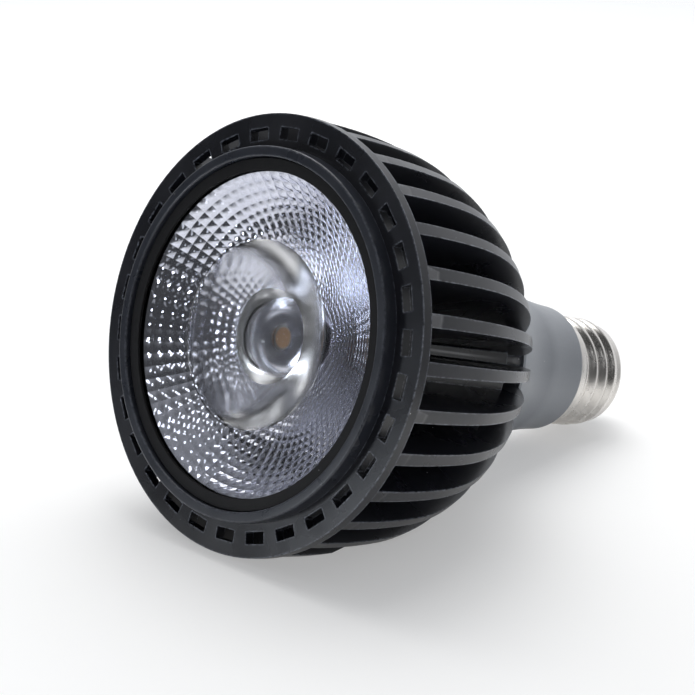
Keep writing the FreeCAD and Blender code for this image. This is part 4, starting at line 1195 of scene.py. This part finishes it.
@dataclass(frozen=True)
class Surroundings:
    """White room to the camera, dimmer as soft light, and with soft boxes for glossy surfaces.

    Each pair of values is a range, and the pair after it the strengths at its ends. The dark side
    is given by its shares of right, up and towards the camera.
    """

    tint: Colour = (0.91, 0.93, 0.965)
    dark_side: tuple[float, float, float] = (-0.25, 0.22, 0.93)
    soft_span: Span = (-0.75, 0.4)
    soft_levels: Span = (1.2, 0.15)
    gloss_span: Span = (-0.75, -0.1)
    gloss_levels: Span = (1.0, 0.06)
    box_spacing: float = 3.2
    box_scatter: float = 0.8
    box_span: Span = (0.33, 0.2)
    box_steep_span: Span = (0.1, 0.6)
    box_levels: Span = (0.35, 2.8)
    box_side_span: Span = (-0.1, 0.5)
    box_side_shares: Span = (1.0, 0.6)
    fill_steep_span: Span = (0.4, 0.9)
    fill_levels: Span = (0.0, 0.3)
    fill_side_span: Span = (-0.3, 0.25)
    fill_side_shares: Span = (1.0, 0.1)

    def boxes(self, bench: Bench, way: Socket, steep: Socket, beside: Socket) -> Socket:
        """Lay the soft boxes and the faint fill above and below that glossy surfaces show.

        Args:
            bench: the world's tree.
            way: direction that is looked in.
            steep: how steep it is, from 0 when level to 1.
            beside: how far it points to the right.

        Returns:
            Their strength.
        """
        cells = bench.add("TexVoronoi", {"Vector": way, "Scale": self.box_spacing, "Randomness": self.box_scatter})
        strength = bench.ramp(steep, self.box_steep_span, self.box_levels)
        boxes = bench.math(Sum.MULTIPLY, bench.ramp(cells.outputs["Distance"], self.box_span), strength)
        side = bench.ramp(beside, self.box_side_span, self.box_side_shares)
        boxes = bench.math(Sum.MULTIPLY, boxes, side)
        side = bench.ramp(beside, self.fill_side_span, self.fill_side_shares)
        fill = bench.math(Sum.MULTIPLY, bench.ramp(steep, self.fill_steep_span, self.fill_levels), side)
        return bench.math(Sum.LARGER, boxes, fill)

    def lay(self, bench: Bench, right: Vector, axes: tuple[Vector, Vector, Vector]) -> None:
        """Lay the nodes of the world.

        Args:
            bench: the world's tree.
            right: right of the camera.
            axes: right, up and towards the camera, level with the floor.
        """
        across, up, near = axes
        way = bench.add("TexCoord").outputs["Generated"]
        beside = bench.along(way, across)
        steep = bench.math(Sum.SIZE, bench.along(way, up))
        shares = self.dark_side
        facing = bench.along(way, (right * shares[0] + up * shares[1] + near * shares[2]).normalized())
        shown = bench.ramp(facing, self.gloss_span, self.gloss_levels)
        shown = bench.math(Sum.LARGER, shown, self.boxes(bench, way, steep, beside))
        paths = bench.add("LightPath")
        gloss = bench.math(Sum.LARGER, paths.outputs["Is Glossy Ray"], paths.outputs["Is Transmission Ray"])
        level = bench.add("Mix", {0: gloss, 2: bench.ramp(facing, self.soft_span, self.soft_levels), 3: shown})
        level = bench.add("Mix", {0: paths.outputs["Is Camera Ray"], 2: level.outputs[0], 3: 1.0})
        ground = bench.add("Background", {"Color": opaque(self.tint), "Strength": level.outputs[0]})
        bench.add("OutputWorld", {"Surface": ground.outputs[0]})


@dataclass
class Studio:
    """Camera, floor, soft lamps and pale surroundings, placed round the lying lamp.

    The lamp keeps its own frame, so the floor and the lamps are turned instead.
    """

    eye: tuple[float, float, float] = (0.39585917, 0.01693297, -0.38331248)
    right: tuple[float, float, float] = (0.72262289, -0.08465612, 0.68603899)
    upward: tuple[float, float, float] = (-0.04157055, -0.99599817, -0.07911723)
    floor_normal: tuple[float, float, float] = (0.1756675, -0.93739813, -0.30070862)
    floor_drop: float = -0.04655
    lens: float = 134.7616
    sensor: float = 36.0
    clip: Span = (0.02, 20.0)
    floor_side: float = 1.6
    floor_cells: int = 8
    middle: tuple[float, float, float] = (0.0, 0.0, 0.055)

    def axes(self) -> tuple[Vector, Vector, Vector]:
        """Work out the studio's axes, level with the floor.

        Returns:
            Right, up and towards the camera.
        """
        across = Vector(self.right).normalized()
        up = Vector(self.floor_normal).normalized()
        across = (across - up * across.dot(up)).normalized()
        return across, up, across.cross(up)

    def spot(self, across: float, up: float, near: float) -> Vector:
        """A place from the lamp's middle, in metres along the studio's axes."""
        a, b, c = self.axes()
        return Vector(self.middle) + a * across + b * up + c * near

    def build(self) -> None:
        """Set up camera, floor, lamps, surroundings and colour handling."""
        self.build_camera()
        self.build_floor()
        self.build_lamps()
        self.build_surroundings()
        bpy.context.scene.view_settings.view_transform = "Standard"

    def build_camera(self) -> None:
        """Camera at the picture's place."""
        data = bpy.data.cameras.new("camera")
        data.lens = self.lens
        data.sensor_fit = "HORIZONTAL"
        data.sensor_width = self.sensor
        data.clip_start, data.clip_end = self.clip
        camera = bpy.data.objects.new("camera", data)
        right = Vector(self.right).normalized()
        upward = Vector(self.upward).normalized()
        back = right.cross(upward).normalized()
        turn = Matrix((right, upward, back)).transposed().to_4x4()
        camera.matrix_world = Matrix.Translation(Vector(self.eye)) @ turn
        bpy.context.scene.collection.objects.link(camera)
        bpy.context.scene.camera = camera

    def build_floor(self) -> None:
        """Pale plane that touches the flange's rim and the screw shell."""
        across, up, near = self.axes()
        form = bmesh.new()
        bmesh.ops.create_grid(form, x_segments=self.floor_cells, y_segments=self.floor_cells,
                              size=self.floor_side / 2.0)
        turn = Matrix((across, -near, up)).transposed().to_4x4()
        foot = Vector(self.middle)
        foot += up * (self.floor_drop - foot.dot(up))
        bmesh.ops.transform(form, matrix=Matrix.Translation(foot) @ turn, verts=form.verts[:])
        mesh = bpy.data.meshes.new("floor")
        form.to_mesh(mesh)
        form.free()
        mesh.materials.append(PALE_FLOOR.material())
        floor = bpy.data.objects.new("floor", mesh)
        bpy.context.scene.collection.objects.link(floor)

    def build_lamps(self) -> None:
        """Large soft lamp overhead, a smaller key lamp and two weak ones in front."""
        for lamp in LAMPS:
            lamp.build(self.spot(*lamp.place), Vector(self.middle))

    def build_surroundings(self) -> None:
        """Pale world that is white behind the lamp and dark behind the camera."""
        world = bpy.data.worlds.new("surroundings")
        bpy.context.scene.world = world
        world.use_nodes = True
        world.node_tree.nodes.clear()
        Surroundings().lay(Bench(world.node_tree), Vector(self.right), self.axes())


def corners(pair: tuple[Vector, Vector]) -> list[list[float]]:
    """Two corners as plain lists of numbers."""
    return [[round(value, 7) for value in corner] for corner in pair]


def main() -> None:
    """Build the lamp and its studio."""
    logging.basicConfig(level=logging.INFO, format="%(name)s %(message)s")
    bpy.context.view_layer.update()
    Studio().build()
    for part in (HeatSink(), FrontTrim(), Reflector(), LightSource(), Neck(), ScrewBase(), Driver()):
        part.build()
        LOG.info("built %s", type(part).__name__)


if __name__ == "__main__":
    main()
